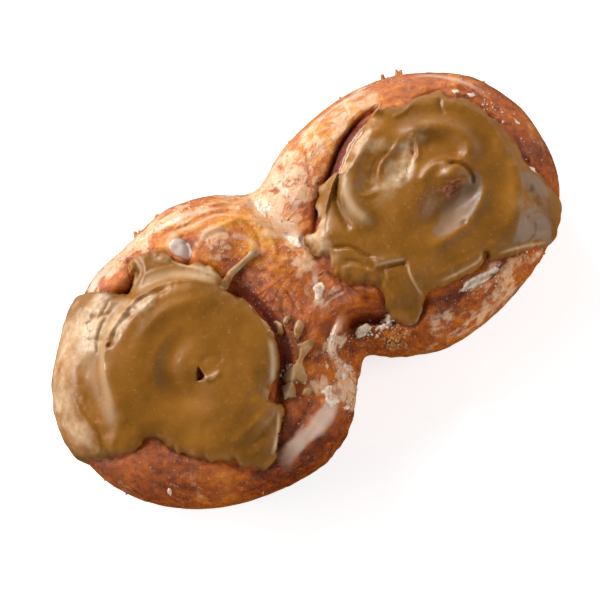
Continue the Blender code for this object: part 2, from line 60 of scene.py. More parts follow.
# ---------------------------------------------------------------------------------------
# Fried dough. A strip of yeast dough, rolled from both ends into two coils and fried on
# each side, so its outer turn is a fat rope round a taller inner coil. The crust is brown
# where the oil reached it and paler round the equator, under a thin set sugar glaze.
# ---------------------------------------------------------------------------------------
EQUATOR = 17.0               # height of the widest level
WRAP_TOP = 30.5              # top of the outer turn
TOP_ROUNDING = 15.0          # how far in from the rim the upper side rounds over
BASE_ROUNDING = 12.5         # and the lower side
ROUNDING_POWER = 2.1         # 2 would round them as ellipses
DOUGH_CELL = 0.54            # cells of the grid that the skin is drawn on
DOUGH_OUTLINE = [
    (77.9, 2.5), (76.2, 12.7), (71.8, 22.2), (63.9, 29.5), (53.8, 35.4), (41.9, 38.3), (29.1, 38.3),
    (16.1, 35.8), (3.3, 30.9), (-7.2, 37.1), (-20.2, 40.9), (-33.9, 38.9), (-48.2, 36.2), (-61.8, 26.8),
    (-72.3, 15.8), (-77, 1.5), (-75.4, -11.9), (-68.5, -23.8), (-56.9, -33.6), (-42.4, -39.5),
    (-26, -41.7), (-13.9, -37.4), (-5.5, -29.4), (1.2, -24.1), (8, -29.4), (20.1, -35.3), (36, -35.9),
    (52.9, -32.2), (65.7, -25.5), (74.9, -13.6),
]
LEFT_COIL = {
    "outline": [(-17, -1), (-18.6, -12), (-25.5, -20.5), (-36, -26.4),
                (-50, -24), (-60.5, -13), (-63.5, 2), (-57, 15.5),
                (-43, 21.6), (-30, 19.2), (-20.6, 10.5)],
    "centre": (-39.7, -5.6), "rise": 4.2, "open_from": -50, "open_to": 40, "sunk_at": 205,
    "crease": (3.2, 0.9), "sunk": 0.85,     # share of the rise lost on the sunken side
}
RIGHT_COIL = {
    "outline": [(65, 2), (62, 13), (54, 22.5), (42, 27.2), (31, 25.6),
                (21.5, 20), (10.5, 11.5), (5, 2), (7, -9), (13, -19),
                (24, -24), (38, -25.6), (51, -24.2), (61.5, -16)],
    "centre": (38, 0.4), "rise": 4, "open_from": 84, "open_to": 160, "sunk_at": 290,
    "crease": (1.2, 2.4), "sunk": 0.9,
}
# Where the icing lies, seen from above: it presses its edge a little into the crust.
LEFT_ICED = [
    (-19.6, 7), (-18, 2), (-17.7, -3), (-18.6, -9), (-22, -15.6), (-29, -20.8), (-27.2, -24.2),
    (-31, -28.6), (-35.2, -33), (-38, -34.6), (-42, -34.2), (-44.8, -31.6), (-46.5, -28.4),
    (-51, -24.4), (-55.5, -18.6), (-59.5, -11), (-64, -10.2), (-69, -9.6), (-74, -6.4), (-80.5, -1),
    (-88, 6), (-84, 24), (-68, 40), (-56, 37), (-49, 30), (-43, 25), (-39.2, 26), (-37.2, 31.6),
    (-33.5, 32.2), (-28.6, 28.2), (-27, 23.2), (-22.4, 19.6), (-19.4, 13.4), (-21.4, 10.4),
]
RIGHT_ICED = [
    (67.6, -2.4), (67.4, 2.6), (66.2, 7.2), (65.4, 11.4), (63.6, 15.6), (60.2, 18), (60, 20.6),
    (57, 21.8), (53, 22.6), (48.4, 22.8), (44.6, 24.4), (41, 26.2), (37, 24), (31.8, 21.6),
    (27.2, 19.6), (23.8, 17.6), (21.6, 18.6), (18.6, 18.8), (14.6, 16.2), (11.4, 11.6), (9, 9.2),
    (5, 9.6), (5.2, 3.4), (7, 1), (5.6, -3), (8, -8.6), (12.8, -13.6), (12.6, -18), (12.4, -21.8),
    (13.4, -25.2), (15.2, -26.2), (17.6, -25.4), (20.4, -23.4), (23, -22.2), (29.1, -23.4),
    (37.8, -24.6), (41.4, -23), (42.2, -25.2), (47.8, -26.8), (56, -28.8), (62, -31.2), (69.6, -24.4),
    (68, -16.6), (66.4, -9.4),
]
EDGE_PRESS = (0.7, 0.5, 0.7)    # depth of the icing's print, its place outside the edge, half width
OPEN_CREASE = 2.7            # depth of the crease round a coil where it shows
CLOSED_CREASE = 1.4          # and where the icing bridges it
CREASE_SLOPE = 4.5           # how far the dough slopes to it on each side
COIL_SHOULDER = 8.0          # how far in from its crease a coil takes to reach its full rise
SUNK_REACH = 16.0            # how far in from its crease a coil sank
CREASE_END = 24.0            # degrees over which an open crease closes
WAIST_DIP = (1.0, 2.0, 13.0)    # place along X, depth and reach
# Creases across the outer turn: plan route, depth, half width.
DOUGH_CREASES = [
    ([(12, -20.6), (8.2, -19.4), (5.6, -17.2), (3, -16.2), (0, -16.4)], 4.6, 1.5),
    ([(2.4, 31), (0.2, 25), (0.8, 17), (3, 10)], 2, 1.6),
    ([(-46.5, 25.6), (-40.5, 25), (-36, 28.5), (-36.5, 34)], 2.6, 1.2),
    ([(-21.6, 28), (-22.4, 24.5), (-25.5, 21.5)], 1.6, 1),
]
# Swellings: plan centre, height, reach along X and Y.
DOUGH_SWELLINGS = [
    ((-42.2, 30.5), 2.4, (7, 4.5)), ((-16.5, 21), 1.8, (6, 6)), ((-8, 6), 1.4, (7, 16)),
    ((24, 32.5), 1, (14, 5)), ((7, -25.5), -4, (12, 7)), ((18, -28.5), 1.2, (7, 3)),
    ((-1, -20.6), -2.2, (4.4, 3)), ((42, -7), -2.4, (7.5, 4.6)), ((9, -27), 1.4, (5, 2.6)),
]
# Marks in the crust: what it is, height, half width, plan route. A ridge stands on both
# sides of its route, a step lifts its left side like the edge of a flake, and a bank or
# a hollow rises or falls to its left, from a crisp edge or from a soft one.
DOUGH_STROKES = [
    ("ridge", 0.9, 2.2, [(-37, -36.6), (-30, -35.4), (-24, -34.4), (-18, -32.4), (-12, -29.2)]),
    ("ridge", -0.5, 0.8, [(-36, -32.8), (-29, -31.8), (-23, -29.6), (-18, -27.4)]),
    ("step", 0.9, 2, [(24, 19.2), (30, 23.2), (37, 25.4), (43, 25.8)]),
    ("ridge", -0.6, 0.4, [(23, 18.6), (28, 21.6), (33, 23.6), (40, 24.2)]),
    ("ridge", -0.5, 0.4, [(26, 19.4), (30, 21.4), (36, 22.8)]),
    ("ridge", 0.5, 0.7, [(-14, 26), (-6, 24), (-1, 20)]),
    ("ridge", -0.7, 0.5, [(-27, 33.6), (-20, 31.4), (-12, 30.4), (-5, 27.4)]),
    ("ridge", 0.6, 0.7, [(-26, 31.4), (-19, 29), (-13, 28)]),
    ("ridge", -0.6, 0.4, [(-22, 36.4), (-14, 35.4), (-7, 33)]),
    ("step", 0.8, 1.6, [(-20.4, 23), (-15.6, 25.2), (-10.6, 23.4), (-9.4, 18.6)]),
    ("ridge", -0.5, 0.5, [(-8, 12), (-5.6, 15.6), (-4.6, 20.4), (-6.4, 25)]),
    ("ridge", 0.5, 0.6, [(-5, 9), (-2.6, 13), (-2, 18)]),
    ("step", 0.6, 1.2, [(8, 33.4), (7, 28), (9.6, 22.6)]),
    ("ridge", -0.5, 0.4, [(12.6, 34), (12, 29), (14, 25)]),
    ("ridge", -0.5, 0.4, [(4.6, 25.6), (10, 27), (17, 27.4)]),
    ("ridge", -0.4, 0.4, [(18, 33.6), (19.6, 29.6), (18.6, 26)]),
    ("ridge", -0.4, 0.5, [(-24, 29), (-14, 29.5), (-5, 26)]),
    ("ridge", -0.4, 0.5, [(-20, 33), (-11, 32), (-3, 28.5)]),
    ("ridge", -0.5, 0.6, [(-11, 10), (-8, 6), (-7.5, 0), (-8.5, -7)]),
    ("step", 0.7, 1.8, [(-4, 5), (0, 1), (5, -2)]),
    ("ridge", 1.1, 0.9, [(1.4, -13.8), (-2.2, -15.4), (-5, -17.2), (-7.2, -19.8), (-8, -22),
         (-8.6, -25)]),
    ("ridge", -0.8, 0.5, [(-1.6, -14), (-5.4, -16), (-8.4, -19), (-10, -22.4)]),
    ("step", 0.9, 1.4, [(-9.6, -25.6), (-9, -22), (-7.8, -19.4), (-5.4, -16.4)]),
    ("ridge", 0.6, 0.6, [(-2, -20.4), (3, -20.6), (9, -21.6)]),
    ("ridge", -0.5, 0.35, [(-6.2, -25.4), (-8.6, -29.6), (-10.4, -34)]),
    ("ridge", -0.5, 0.35, [(-11, -26), (-9, -29), (-5, -30)]),
    ("step", 0.6, 1.4, [(-14.4, -25.2), (-11.4, -28), (-10.6, -31.4), (-12.6, -35)]),
    ("step", 0.9, 1.5, [(16, -24.6), (9, -22.8), (4, -21), (-1, -21.4)]),
    ("ridge", -0.7, 0.5, [(28, -28.5), (34, -26.8), (40, -28.2), (46, -27.4)]),
    ("ridge", -0.5, 0.6, [(24, -31), (33, -31.5), (42, -30.4)]),
    ("step", 0.6, 1.6, [(48, -30), (41, -29), (34, -30), (26, -29)]),
    ("ridge", -0.5, 0.5, [(47, -26.5), (50, -28.5), (49, -31)]),
    ("ridge", -0.5, 0.7, [(-70, -14), (-64, -23), (-56, -30)]),
    ("ridge", 0.5, 1, [(-62, -22), (-55, -28), (-47, -32.5)]),
    ("ridge", -0.5, 0.5, [(64, 20), (69, 12), (71, 3)]),
    ("ridge", 0.5, 0.8, [(60, 25), (67, 18), (70.5, 9)]),
    ("ridge", -0.4, 0.5, [(66.5, 14), (69, 6), (69.5, -4)]),
]
# Where the rim is crumbly: centre, reach, strength.
CRUMBLY = [
    ((-16, -38), (12, 6), 1), ((8, -28), (12, 5), 1.2), ((-4, -29), (5, 5), 0.8),
    ((60, -30), (10, 6), 0.5), ((-27, 38), (5, 4), 1.4), ((6, 30), (8, 4), 0.6),
]
# Where the crust is torn and rough.
TORN_CRUST = [
    ((11, -23.5), (9, 4), 1), ((-6, -20.5), (6, 3.5), 1), ((-12, 0), (3.5, 12), 0.7),
    ((8, -27), (5, 3), 1),
]
# Unevenness: height, wavelength and seed of each layer.
TOP_LUMPS = [(0.7, 26, 7), (0.2, 9, 8)]
CRUST_LUMPS = [(0.11, 3.6, 11), (0.09, 1.5, 12)]
RIM_STREAKS = (0.2, 1.4, 19)
TORN_LUMPS = (0.6, 1.5, 14)
LATTICE = 64                 # random values along each side of the unevenness, before it repeats
NARROW_FADE = 6              # ridges and steps fade over a sixth of their route at each end
WIDE_FADE = 2.4              # banks and hollows fade over more, so that they leave no seams
STEP_EDGE = 0.35
BANK_TAIL = 0.7              # how softly a bank ends past its width, as a share of it
BLISTERS = 550
GRID_CORNERS = ((-81.0, -45.0), (82.0, 46.0))    # in plan, round the whole dough
RIM_LENGTH = 420.0           # the dough's outline, measured round
STREAK_STRETCH = 3           # how much longer a streak is than it is wide
GROOVE_DEPTH = 2.6           # between the turns on the underside
GROOVE_WIDTH = 1.8
# The turns seen from below: plan centre, radii, first angle in degrees, turns.
UNDERSIDE_SPIRALS = [
    ((-38, 0), 33, 9, -42, 1.7),
    ((38, 1), 33, 9, 138, 1.7),
]


def smooth_line(points, closed=False, per_span=8):
    """A line through the points, rounded as a Catmull-Rom curve."""
    points = np.array(points, float)
    if closed:
        padded = np.vstack([points[-1:], points, points[:2]])
    else:
        padded = np.vstack([2 * points[0] - points[1], points, 2 * points[-1] - points[-2]])
    line = []
    for before, start, end, after in zip(padded, padded[1:], padded[2:], padded[3:]):
        for t in np.arange(per_span) / per_span:
            line.append(0.5 * (2 * start + (end - before) * t
                               + (2 * before - 5 * start + 4 * end - after) * t ** 2
                               + (3 * start - before - 3 * end + after) * t ** 3))
    if not closed:
        line.append(points[-1])
    return np.array(line)


def distance_to_line(x, y, line):
    """Plan distance to a line, how far along it that is, 0 to 1, and which side: +1 is left."""
    nearest = np.full(x.shape, np.inf)
    along = np.zeros(x.shape)
    side = np.ones(x.shape)
    spans = len(line) - 1
    for number, (start, end) in enumerate(zip(line, line[1:])):
        step = end - start
        dx = x - start[0]
        dy = y - start[1]
        t = np.clip((dx * step[0] + dy * step[1]) / (step @ step), 0, 1)
        distance = np.hypot(dx - t * step[0], dy - t * step[1])
        closer = distance < nearest
        nearest = np.where(closer, distance, nearest)
        along = np.where(closer, (number + t) / spans, along)
        side = np.where(closer, np.sign(step[0] * dy - step[1] * dx), side)
    return nearest, along, side


def place_on_route(x, y, route, fade):
    """Plan distance to a route, which side, and a factor that fades to 0 toward its ends."""
    distance, along, side = distance_to_line(x, y, smooth_line(route, per_span=4))
    return distance, side, np.clip(np.minimum(along, 1 - along) * fade, 0, 1)


def depth_inside(x, y, outline, per_span=8):
    """Plan distance to a closed outline, positive inside it; its corners are sharp at 1 a span."""
    line = smooth_line(outline, closed=True, per_span=per_span)
    ring = np.vstack([line, line[:1]])
    distance = distance_to_line(x, y, ring)[0]
    inside = np.zeros(x.shape, bool)
    for start, end in zip(ring, ring[1:]):
        spans = (start[1] > y) != (end[1] > y)
        rise = end[1] - start[1]
        crossing = start[0] + (y - start[1]) * (end[0] - start[0]) / (rise if rise else 1.0)
        inside ^= spans & (x < crossing)
    return np.where(inside, distance, -distance)


def unevenness(x, y, *layers):
    """Smooth seeded lumps, about one to each wavelength: layers of height, wavelength and seed."""
    total = 0
    for height, wavelength, seed in layers:
        lattice = np.random.default_rng(seed).uniform(-1, 1, (LATTICE, LATTICE))
        u = x / wavelength + LATTICE / 2 - 0.5
        v = y / wavelength + LATTICE / 2 - 0.5
        i = np.floor(u).astype(int)
        j = np.floor(v).astype(int)
        s = (u - i) ** 2 * (3 - 2 * (u - i))
        t = (v - j) ** 2 * (3 - 2 * (v - j))
        i %= LATTICE - 1
        j %= LATTICE - 1
        low = lattice[i, j] * (1 - s) + lattice[i + 1, j] * s
        high = lattice[i, j + 1] * (1 - s) + lattice[i + 1, j + 1] * s
        total = total + height * (low * (1 - t) + high * t)
    return total


def shoulder(distance, width):
    """Rise from 0 to 1 over the width, steep first and then rounded over."""
    t = np.clip(distance / width, 0, 1)
    return np.sqrt(1 - (1 - t) ** 2)


def bump(x, y, centre, reach):
    """A round hump of height 1 at a plan centre."""
    return np.exp(-((x - centre[0]) / reach[0]) ** 2 - ((y - centre[1]) / reach[1]) ** 2)


def patches(x, y, places):
    """The sum of soft patches: plan centre, reach along X and Y, and strength."""
    return sum(strength * bump(x, y, centre, reach) for centre, reach, strength in places)


def add_strokes(z, x, y, strokes):
    """Heights with ridges, steps and banks drawn along their routes, fading at both ends."""
    for kind, height, width, route in strokes:
        narrow = kind in ("ridge", "step")
        distance, side, fade = place_on_route(x, y, route, NARROW_FADE if narrow else WIDE_FADE)
        if kind == "ridge":
            shape = np.exp(-(distance / width) ** 2)
        elif kind == "step":
            shape = 0.5 * side * np.tanh(distance / STEP_EDGE) * np.exp(-distance / width)
        else:
            far = np.maximum(distance / width - 1, 0)
            near = np.minimum(distance / width, 1)
            near = near if kind == "bank" else near ** 2 * (3 - 2 * near)
            shape = (side > 0) * near * np.exp(-(far / BANK_TAIL) ** 2)
        z = z + height * fade ** 2 * (3 - 2 * fade) * shape
    return z


def pimples(x, y, count, low, high, sizes, seed):
    """Small seeded humps of many sizes, strewn over a plan rectangle."""
    draw = np.random.default_rng(seed)
    z = np.zeros(x.shape)
    for _ in range(count):
        centre = draw.uniform(low, high)
        radius = draw.uniform(*sizes)
        near = (np.abs(x - centre[0]) < 3 * radius) & (np.abs(y - centre[1]) < 3 * radius)
        away = ((x[near] - centre[0]) ** 2 + (y[near] - centre[1]) ** 2) / radius ** 2
        z[near] += draw.uniform(0.1, 0.28) * radius * np.exp(-away)
    return z


def openness(x, y, coil):
    """1 where the crease round a coil shows and 0 where the icing bridges it."""
    angle = np.degrees(np.arctan2(y - coil["centre"][1], x - coil["centre"][0]))
    middle = (coil["open_from"] + coil["open_to"]) / 2
    half = (coil["open_to"] - coil["open_from"]) / 2
    away = np.abs((angle - middle + 180) % 360 - 180)
    return np.clip(0.5 + (half - away) / CREASE_END, 0, 1)


def sunken_side(x, y, coil):
    """0 all round a coil, but up to 1 on the side where it sank into the outer turn."""
    angle = np.arctan2(y - coil["centre"][1], x - coil["centre"][0]) - math.radians(coil["sunk_at"])
    return np.clip(np.cos(angle), 0, 1) ** 1.5


def top_height(x, y):
    """Height of the dough's upper face, before its edge is rounded down."""
    z = WRAP_TOP + unevenness(x, y, *TOP_LUMPS)
    place, deep, reach = WAIST_DIP
    z = z - deep * np.exp(-((x - place) / reach) ** 2)
    for coil in (LEFT_COIL, RIGHT_COIL):
        inside = depth_inside(x, y, coil["outline"])
        shown = openness(x, y, coil)
        kept = 1 - coil["sunk"] * sunken_side(x, y, coil) * np.exp(-(inside / SUNK_REACH) ** 2)
        z = z + coil["rise"] * kept * shoulder(inside, COIL_SHOULDER)
        deep = CLOSED_CREASE * kept + (OPEN_CREASE - CLOSED_CREASE) * shown
        slope = np.clip(1 - np.abs(inside) / CREASE_SLOPE, 0, 1) ** 2
        cleft = 1 - np.where(inside < 0, -inside / coil["crease"][0], inside / coil["crease"][1])
        cleft = np.clip(cleft, 0, 1) ** 0.7
        z = z - deep * (0.2 * slope + 0.8 * cleft * shown)
    for route, deep, half_width in DOUGH_CREASES:
        distance, along, _ = distance_to_line(x, y, smooth_line(route))
        fade = np.clip(np.minimum(along, 1 - along) * 5 + 0.25, 0, 1)
        z = z - deep * fade * np.exp(-(distance / half_width) ** 2)
    for centre, height, reach in DOUGH_SWELLINGS:
        z = z + height * bump(x, y, centre, reach)
    return z


def rim_place(x, y):
    """How far inside the dough's outline a plan point is, and how far round it, 0 to 1."""
    line = smooth_line(DOUGH_OUTLINE, closed=True)
    distance, along, _ = distance_to_line(x, y, np.vstack([line, line[:1]]))
    return distance, along


def crust_relief(x, y):
    """The crust's wrinkles, flakes, blisters and crumbs, added to the dough's upper face."""
    z = add_strokes(np.zeros(x.shape), x, y, DOUGH_STROKES)
    z = z + pimples(x, y, BLISTERS, (-78, -42), (78, 42), (0.4, 1.4), 13)
    z = z + unevenness(x, y, *CRUST_LUMPS)
    inside, along = rim_place(x, y)
    z = z + unevenness(RIM_LENGTH * along / 7, inside, RIM_STREAKS) * np.clip(1.6 - inside / 14, 0, 1)
    torn = patches(x, y, TORN_CRUST)
    deep, place, half_width = EDGE_PRESS
    for outline in (LEFT_ICED, RIGHT_ICED):
        outside = depth_inside(x, y, outline) + place
        z = z - deep * np.exp(-(outside / half_width) ** 2)
    return z + torn * unevenness(x, y, TORN_LUMPS)


def spiral(centre, start_radius, end_radius, start_angle, turns):
    """Plan points of a spiral that winds inward counterclockwise."""
    t = np.linspace(0, 1, int(14 * turns))
    angle = np.radians(start_angle) + 2 * np.pi * turns * t
    radius = start_radius + (end_radius - start_radius) * t
    return np.stack([centre[0] + radius * np.cos(angle), centre[1] + radius * np.sin(angle)], 1)


def base_height(x, y):
    """Height of the underside: 0, but for the grooves between its turns."""
    z = np.zeros(x.shape)
    for sizes in UNDERSIDE_SPIRALS:
        line = smooth_line(spiral(*sizes), per_span=3)
        distance, along, _ = distance_to_line(x, y, line)
        groove = np.clip((1 - along) * 3, 0, 1) * np.exp(-(distance / GROOVE_WIDTH) ** 2)
        z = np.maximum(z, GROOVE_DEPTH * groove - 0.1)
    return z


def plan_grid(low, high, cell):
    """Plan points of a grid of cells, and its heights."""
    axes = [np.arange(low[k], high[k] + cell, cell) for k in range(3)]
    x, y = np.meshgrid(axes[0], axes[1], indexing="ij")
    return x, y, axes[2]


def dough_field(x, y, heights, top):
    """Signed field of the dough on a grid, in about mm: negative inside."""
    inside = depth_inside(x, y, DOUGH_OUTLINE)
    crumbly = 0.07 + 0.3 * patches(x, y, CRUMBLY)
    inside = inside + crumbly * unevenness(x, y, (1, 2.2, 35), (0.6, 1.2, 36))
    inside = inside[:, :, None]
    z = heights[None, None, :]
    above = z > EQUATOR
    rounding = np.where(above, TOP_ROUNDING, BASE_ROUNDING)
    upper = np.maximum(top - EQUATOR, 4.0)[:, :, None]
    lower = (EQUATOR - base_height(x, y))[:, :, None]
    half_height = np.where(above, upper, lower)
    edge = np.maximum(0, 1 - inside / rounding)
    level = np.abs(z - EQUATOR) / half_height
    power = ROUNDING_POWER
    field = (edge ** power + level ** power) ** (1 / power) - 1
    return field * np.minimum(rounding, half_height)


def surface_net(field, low, cell):
    """Points and quads of the skin where a field on a grid of cells crosses zero."""
    cells = tuple(np.array(field.shape) - 1)
    total = np.zeros((int(np.prod(cells)), 3))
    count = np.zeros(len(total))
    quads = []
    for axis in range(3):
        u = (axis + 1) % 3
        v = (axis + 2) % 3
        near = np.take(field, range(field.shape[axis] - 1), axis)
        far = np.take(field, range(1, field.shape[axis]), axis)
        edges = np.argwhere((near < 0) != (far < 0))
        start = near[tuple(edges.T)]
        end = far[tuple(edges.T)]
        points = edges.astype(float)
        points[:, axis] += start / (start - end)
        corners = []
        for du, dv in ((1, 1), (0, 1), (0, 0), (1, 0)):
            corner = edges.copy()
            corner[:, u] -= du
            corner[:, v] -= dv
            corners.append(np.ravel_multi_index(corner.T, cells))
        for corner in corners:
            np.add.at(total, corner, points)
            np.add.at(count, corner, 1)
        quad = np.stack(corners, 1)
        quads.append(np.where((start < 0)[:, None], quad, quad[:, ::-1]))
    used, quads = np.unique(np.concatenate(quads), return_inverse=True)
    points = np.array(low) + cell * total[used] / count[used][:, None]
    return points, quads.reshape(-1, 4)


def sample(field, low, cell, points):
    """A field's value at any point between its grid points."""
    place = (points - np.array(low)) / cell
    first = np.clip(np.floor(place).astype(int), 0, np.array(field.shape) - 2)
    part = place - first
    value = np.zeros(len(points))
    for corner in range(8):
        step = np.array([corner & 1, corner >> 1 & 1, corner >> 2 & 1])
        weight = np.prod(np.where(step, part, 1 - part), axis=1)
        value += weight * field[tuple((first + step).T)]
    return value


def settle(points, field, low, cell):
    """Move points onto the skin of the field, along its slope."""
    for _ in range(2):
        value = sample(field, low, cell, points)
        slope = np.zeros(points.shape)
        for axis in range(3):
            step = np.zeros(3)
            step[axis] = 0.5 * cell
            slope[:, axis] = (sample(field, low, cell, points + step)
                              - sample(field, low, cell, points - step)) / cell
        steep = np.maximum((slope ** 2).sum(1), 0.05)
        move = -slope * (value / steep)[:, None]
        length = np.maximum(np.linalg.norm(move, axis=1), 1e-9)
        points = points + move * np.minimum(1, 0.6 * cell / length)[:, None]
    return points


def add_piece(name, points, faces, marks=None):
    """A named mesh piece from points in mm, shaded smooth, with its marks as attributes."""
    mesh = bpy.data.meshes.new(name)
    mesh.from_pydata((np.array(points) * MM).tolist(), [], np.array(faces).tolist())
    for mark, values in (marks or {}).items():
        layer = mesh.attributes.new(mark, "FLOAT", "POINT")
        layer.data.foreach_set("value", np.array(values, np.float32))
    mesh.shade_smooth()
    piece = bpy.data.objects.new(name, mesh)
    bpy.context.scene.collection.objects.link(piece)
    return piece


def paint(hex_colour):
    """An sRGB hex colour as linear red, green, blue and alpha."""
    channels = [int(hex_colour[k:k + 2], 16) / 255 for k in (1, 3, 5)]
    return tuple(c / 12.92 if c <= 0.04045 else ((c + 0.055) / 1.055) ** 2.4 for c in channels) + (1.0,)


def add_node(tree, kind, inputs=None, stops=(), out=None, **settings):
    """Add a node and return its output. The inputs are values or other nodes' outputs, the
    stops fill a ramp, and out names the output where it isn't the first one in use."""
    made = tree.nodes.new("ShaderNode" + kind)
    for name, value in settings.items():
        setattr(made, name, value)
    for socket, value in (inputs or {}).items():
        if isinstance(value, bpy.types.NodeSocket):
            tree.links.new(value, made.inputs[socket])
        else:
            made.inputs[socket].default_value = value
    for number, (place, colour) in enumerate(stops):
        ramp = made.color_ramp.elements
        stop = ramp[number] if number < 2 else ramp.new(place)
        stop.position = place
        stop.color = paint(colour)
    in_use = [socket for socket in made.outputs if socket.enabled]
    return made.outputs[out] if out else in_use[0] if in_use else None


def new_material(name):
    """An empty node material, its tree, and the place on the piece that its patterns lie on."""
    made = bpy.data.materials.new(name)
    made.use_nodes = True
    made.node_tree.nodes.clear()
    return made, made.node_tree, add_node(made.node_tree, "TexCoord", out="Object")


low = (*GRID_CORNERS[0], -1.5 * DOUGH_CELL)
x, y, heights = plan_grid(low, (*GRID_CORNERS[1], 38.0), DOUGH_CELL)
field = dough_field(x, y, heights, top_height(x, y) + crust_relief(x, y))
dough_points, dough_faces = surface_net(field, low, DOUGH_CELL)
dough_points = settle(dough_points, field, low, DOUGH_CELL)
dough_points[:, 2] = np.maximum(dough_points[:, 2], 0.0)

LEAVES = (1.7, 6.0)          # how far inside the right coil's crease its torn layers show
PALE_BAND = 3.0              # how far below the equator the pale band is, and its half width
# Where the crust is browner, or paler where it is negative: centre, reach, strength.
BROWNER = [
    ((-5, 18), (9, 11), -0.3), ((22, 31), (22, 7), -0.16), ((-22, 31), (14, 5), -0.14),
    ((-14, -3), (4, 14), 0.14), ((-2, -6), (9, 8), 0.04), ((3, -20), (9, 3), 0.25),
    ((-60, -21), (10, 10), 0.16), ((-34, -39.4), (18, 2.6), 0.2), ((-50, -31), (9, 3), -0.14),
    ((-15, 12), (3, 6), 0.2), ((-20.6, 26.6), (2, 2.6), 0.3), ((-30, -38), (30, 6), 0.1),
    ((-39, -35.6), (8, 2.4), 0.22), ((60, 24), (20, 14), -0.06), ((-38, -30.6), (14, 2), 0.2),
    ((-12, 21), (5, 1.6), 0.16), ((26, -27.5), (8, 3), 0.25), ((70, -8), (3, 10), 0.10),
    ((-42, 28.5), (6, 3), -0.12), ((66, 12), (4, 14), 0.02),
]
# Where the sugar glaze has set as a white film: centre, reach, strength.
FILMED = [
    ((10, 26), (13, 10), 0.7), ((35, 32), (18, 6), 0.5), ((-38, 34.4), (12, 3.4), 0.7),
    ((-22, 36.6), (12, 3.4), 0.5), ((-12, 33), (8, 2), 0.4), ((1.5, 22), (3.5, 9), 0.5),
    ((-51, 31), (5, 3.4), 0.6), ((-14.6, 24.6), (3.6, 1.4), 0.5), ((31, -35), (16, 3), 0.3),
    ((-74, -17), (2, 4), 0.5), ((1.6, -8), (5, 3), 0.2), ((0.5, 5), (4, 5), 0.4),
    ((-7.4, -27), (3.2, 4.6), 1), ((-9.8, -32.6), (3.4, 3.4), 0.9), ((-16, -25.6), (4.4, 2.6), 0.5),
    ((4, 9), (3, 7), 0.5), ((-16, 21), (5, 5), 0.35), ((42, -30), (14, 4.5), 0.46),
    ((20, -31), (8, 3), 0.25), ((-58, -27), (1.6, 4), 0.35), ((-9, 6), (3, 3), 0.25),
    ((-4, -5), (3, 3), 0.2), ((75, 2), (4, 20), 0.16), ((-6, -18.5), (7, 1.6), 0.55),
]
# Runs of glaze that set smooth and whitish, each also a painted highlight along the crest or rim it follows:
# half width, strength, plan route.
GLAZE_RUNS_AND_HIGHLIGHTS = [
    (2, 1, [(-37, -36.4), (-30, -35.2), (-24, -34.2), (-18, -32.2), (-11, -28.6)]),
    (1, 0.9, [(1.8, -13.4), (-2.2, -15.3), (-5, -17), (-7.2, -19.6), (-8, -22), (-8.6, -25)]),
    (1.2, 0.7, [(2.4, 28), (2.2, 22), (3.4, 15), (4.4, 9), (5.6, 4)]),
    (0.7, 0.6, [(56, 31), (62, 27), (67, 20), (70.6, 12)]),
    (0.6, 0.5, [(20, 33), (28, 35.2), (38, 35.4), (46, 33.6)]),
    (0.9, 0.5, [(-30, 26.4), (-28.6, 24.6), (-27.4, 22.6)]),
    (2.2, 0.9, [(-24.4, 31.6), (-23.8, 28.4), (-23.4, 25.6), (-23.6, 22.6)]),
    (0.6, 0.8, [(-40, 36.4), (-30, 36), (-21, 34.4), (-13, 32.6), (-6, 29)]),
    (0.5, 0.6, [(-26, 32.6), (-18, 30), (-11, 29), (-5, 25.6)]),
    (0.7, 0.45, [(-13.4, 21.6), (-9.4, 20.4), (-7, 16.6), (-6.6, 12)]),
    (0.8, 0.7, [(3.4, 2.6), (0.6, -1.6), (-1.8, -6), (-2.6, -10)]),
    (0.8, 0.6, [(10, 32.4), (8.6, 27), (9, 21), (7, 15.4)]),
    (1.1, 0.6, [(-52, 31), (-47, 34), (-40, 35.4)]),
]


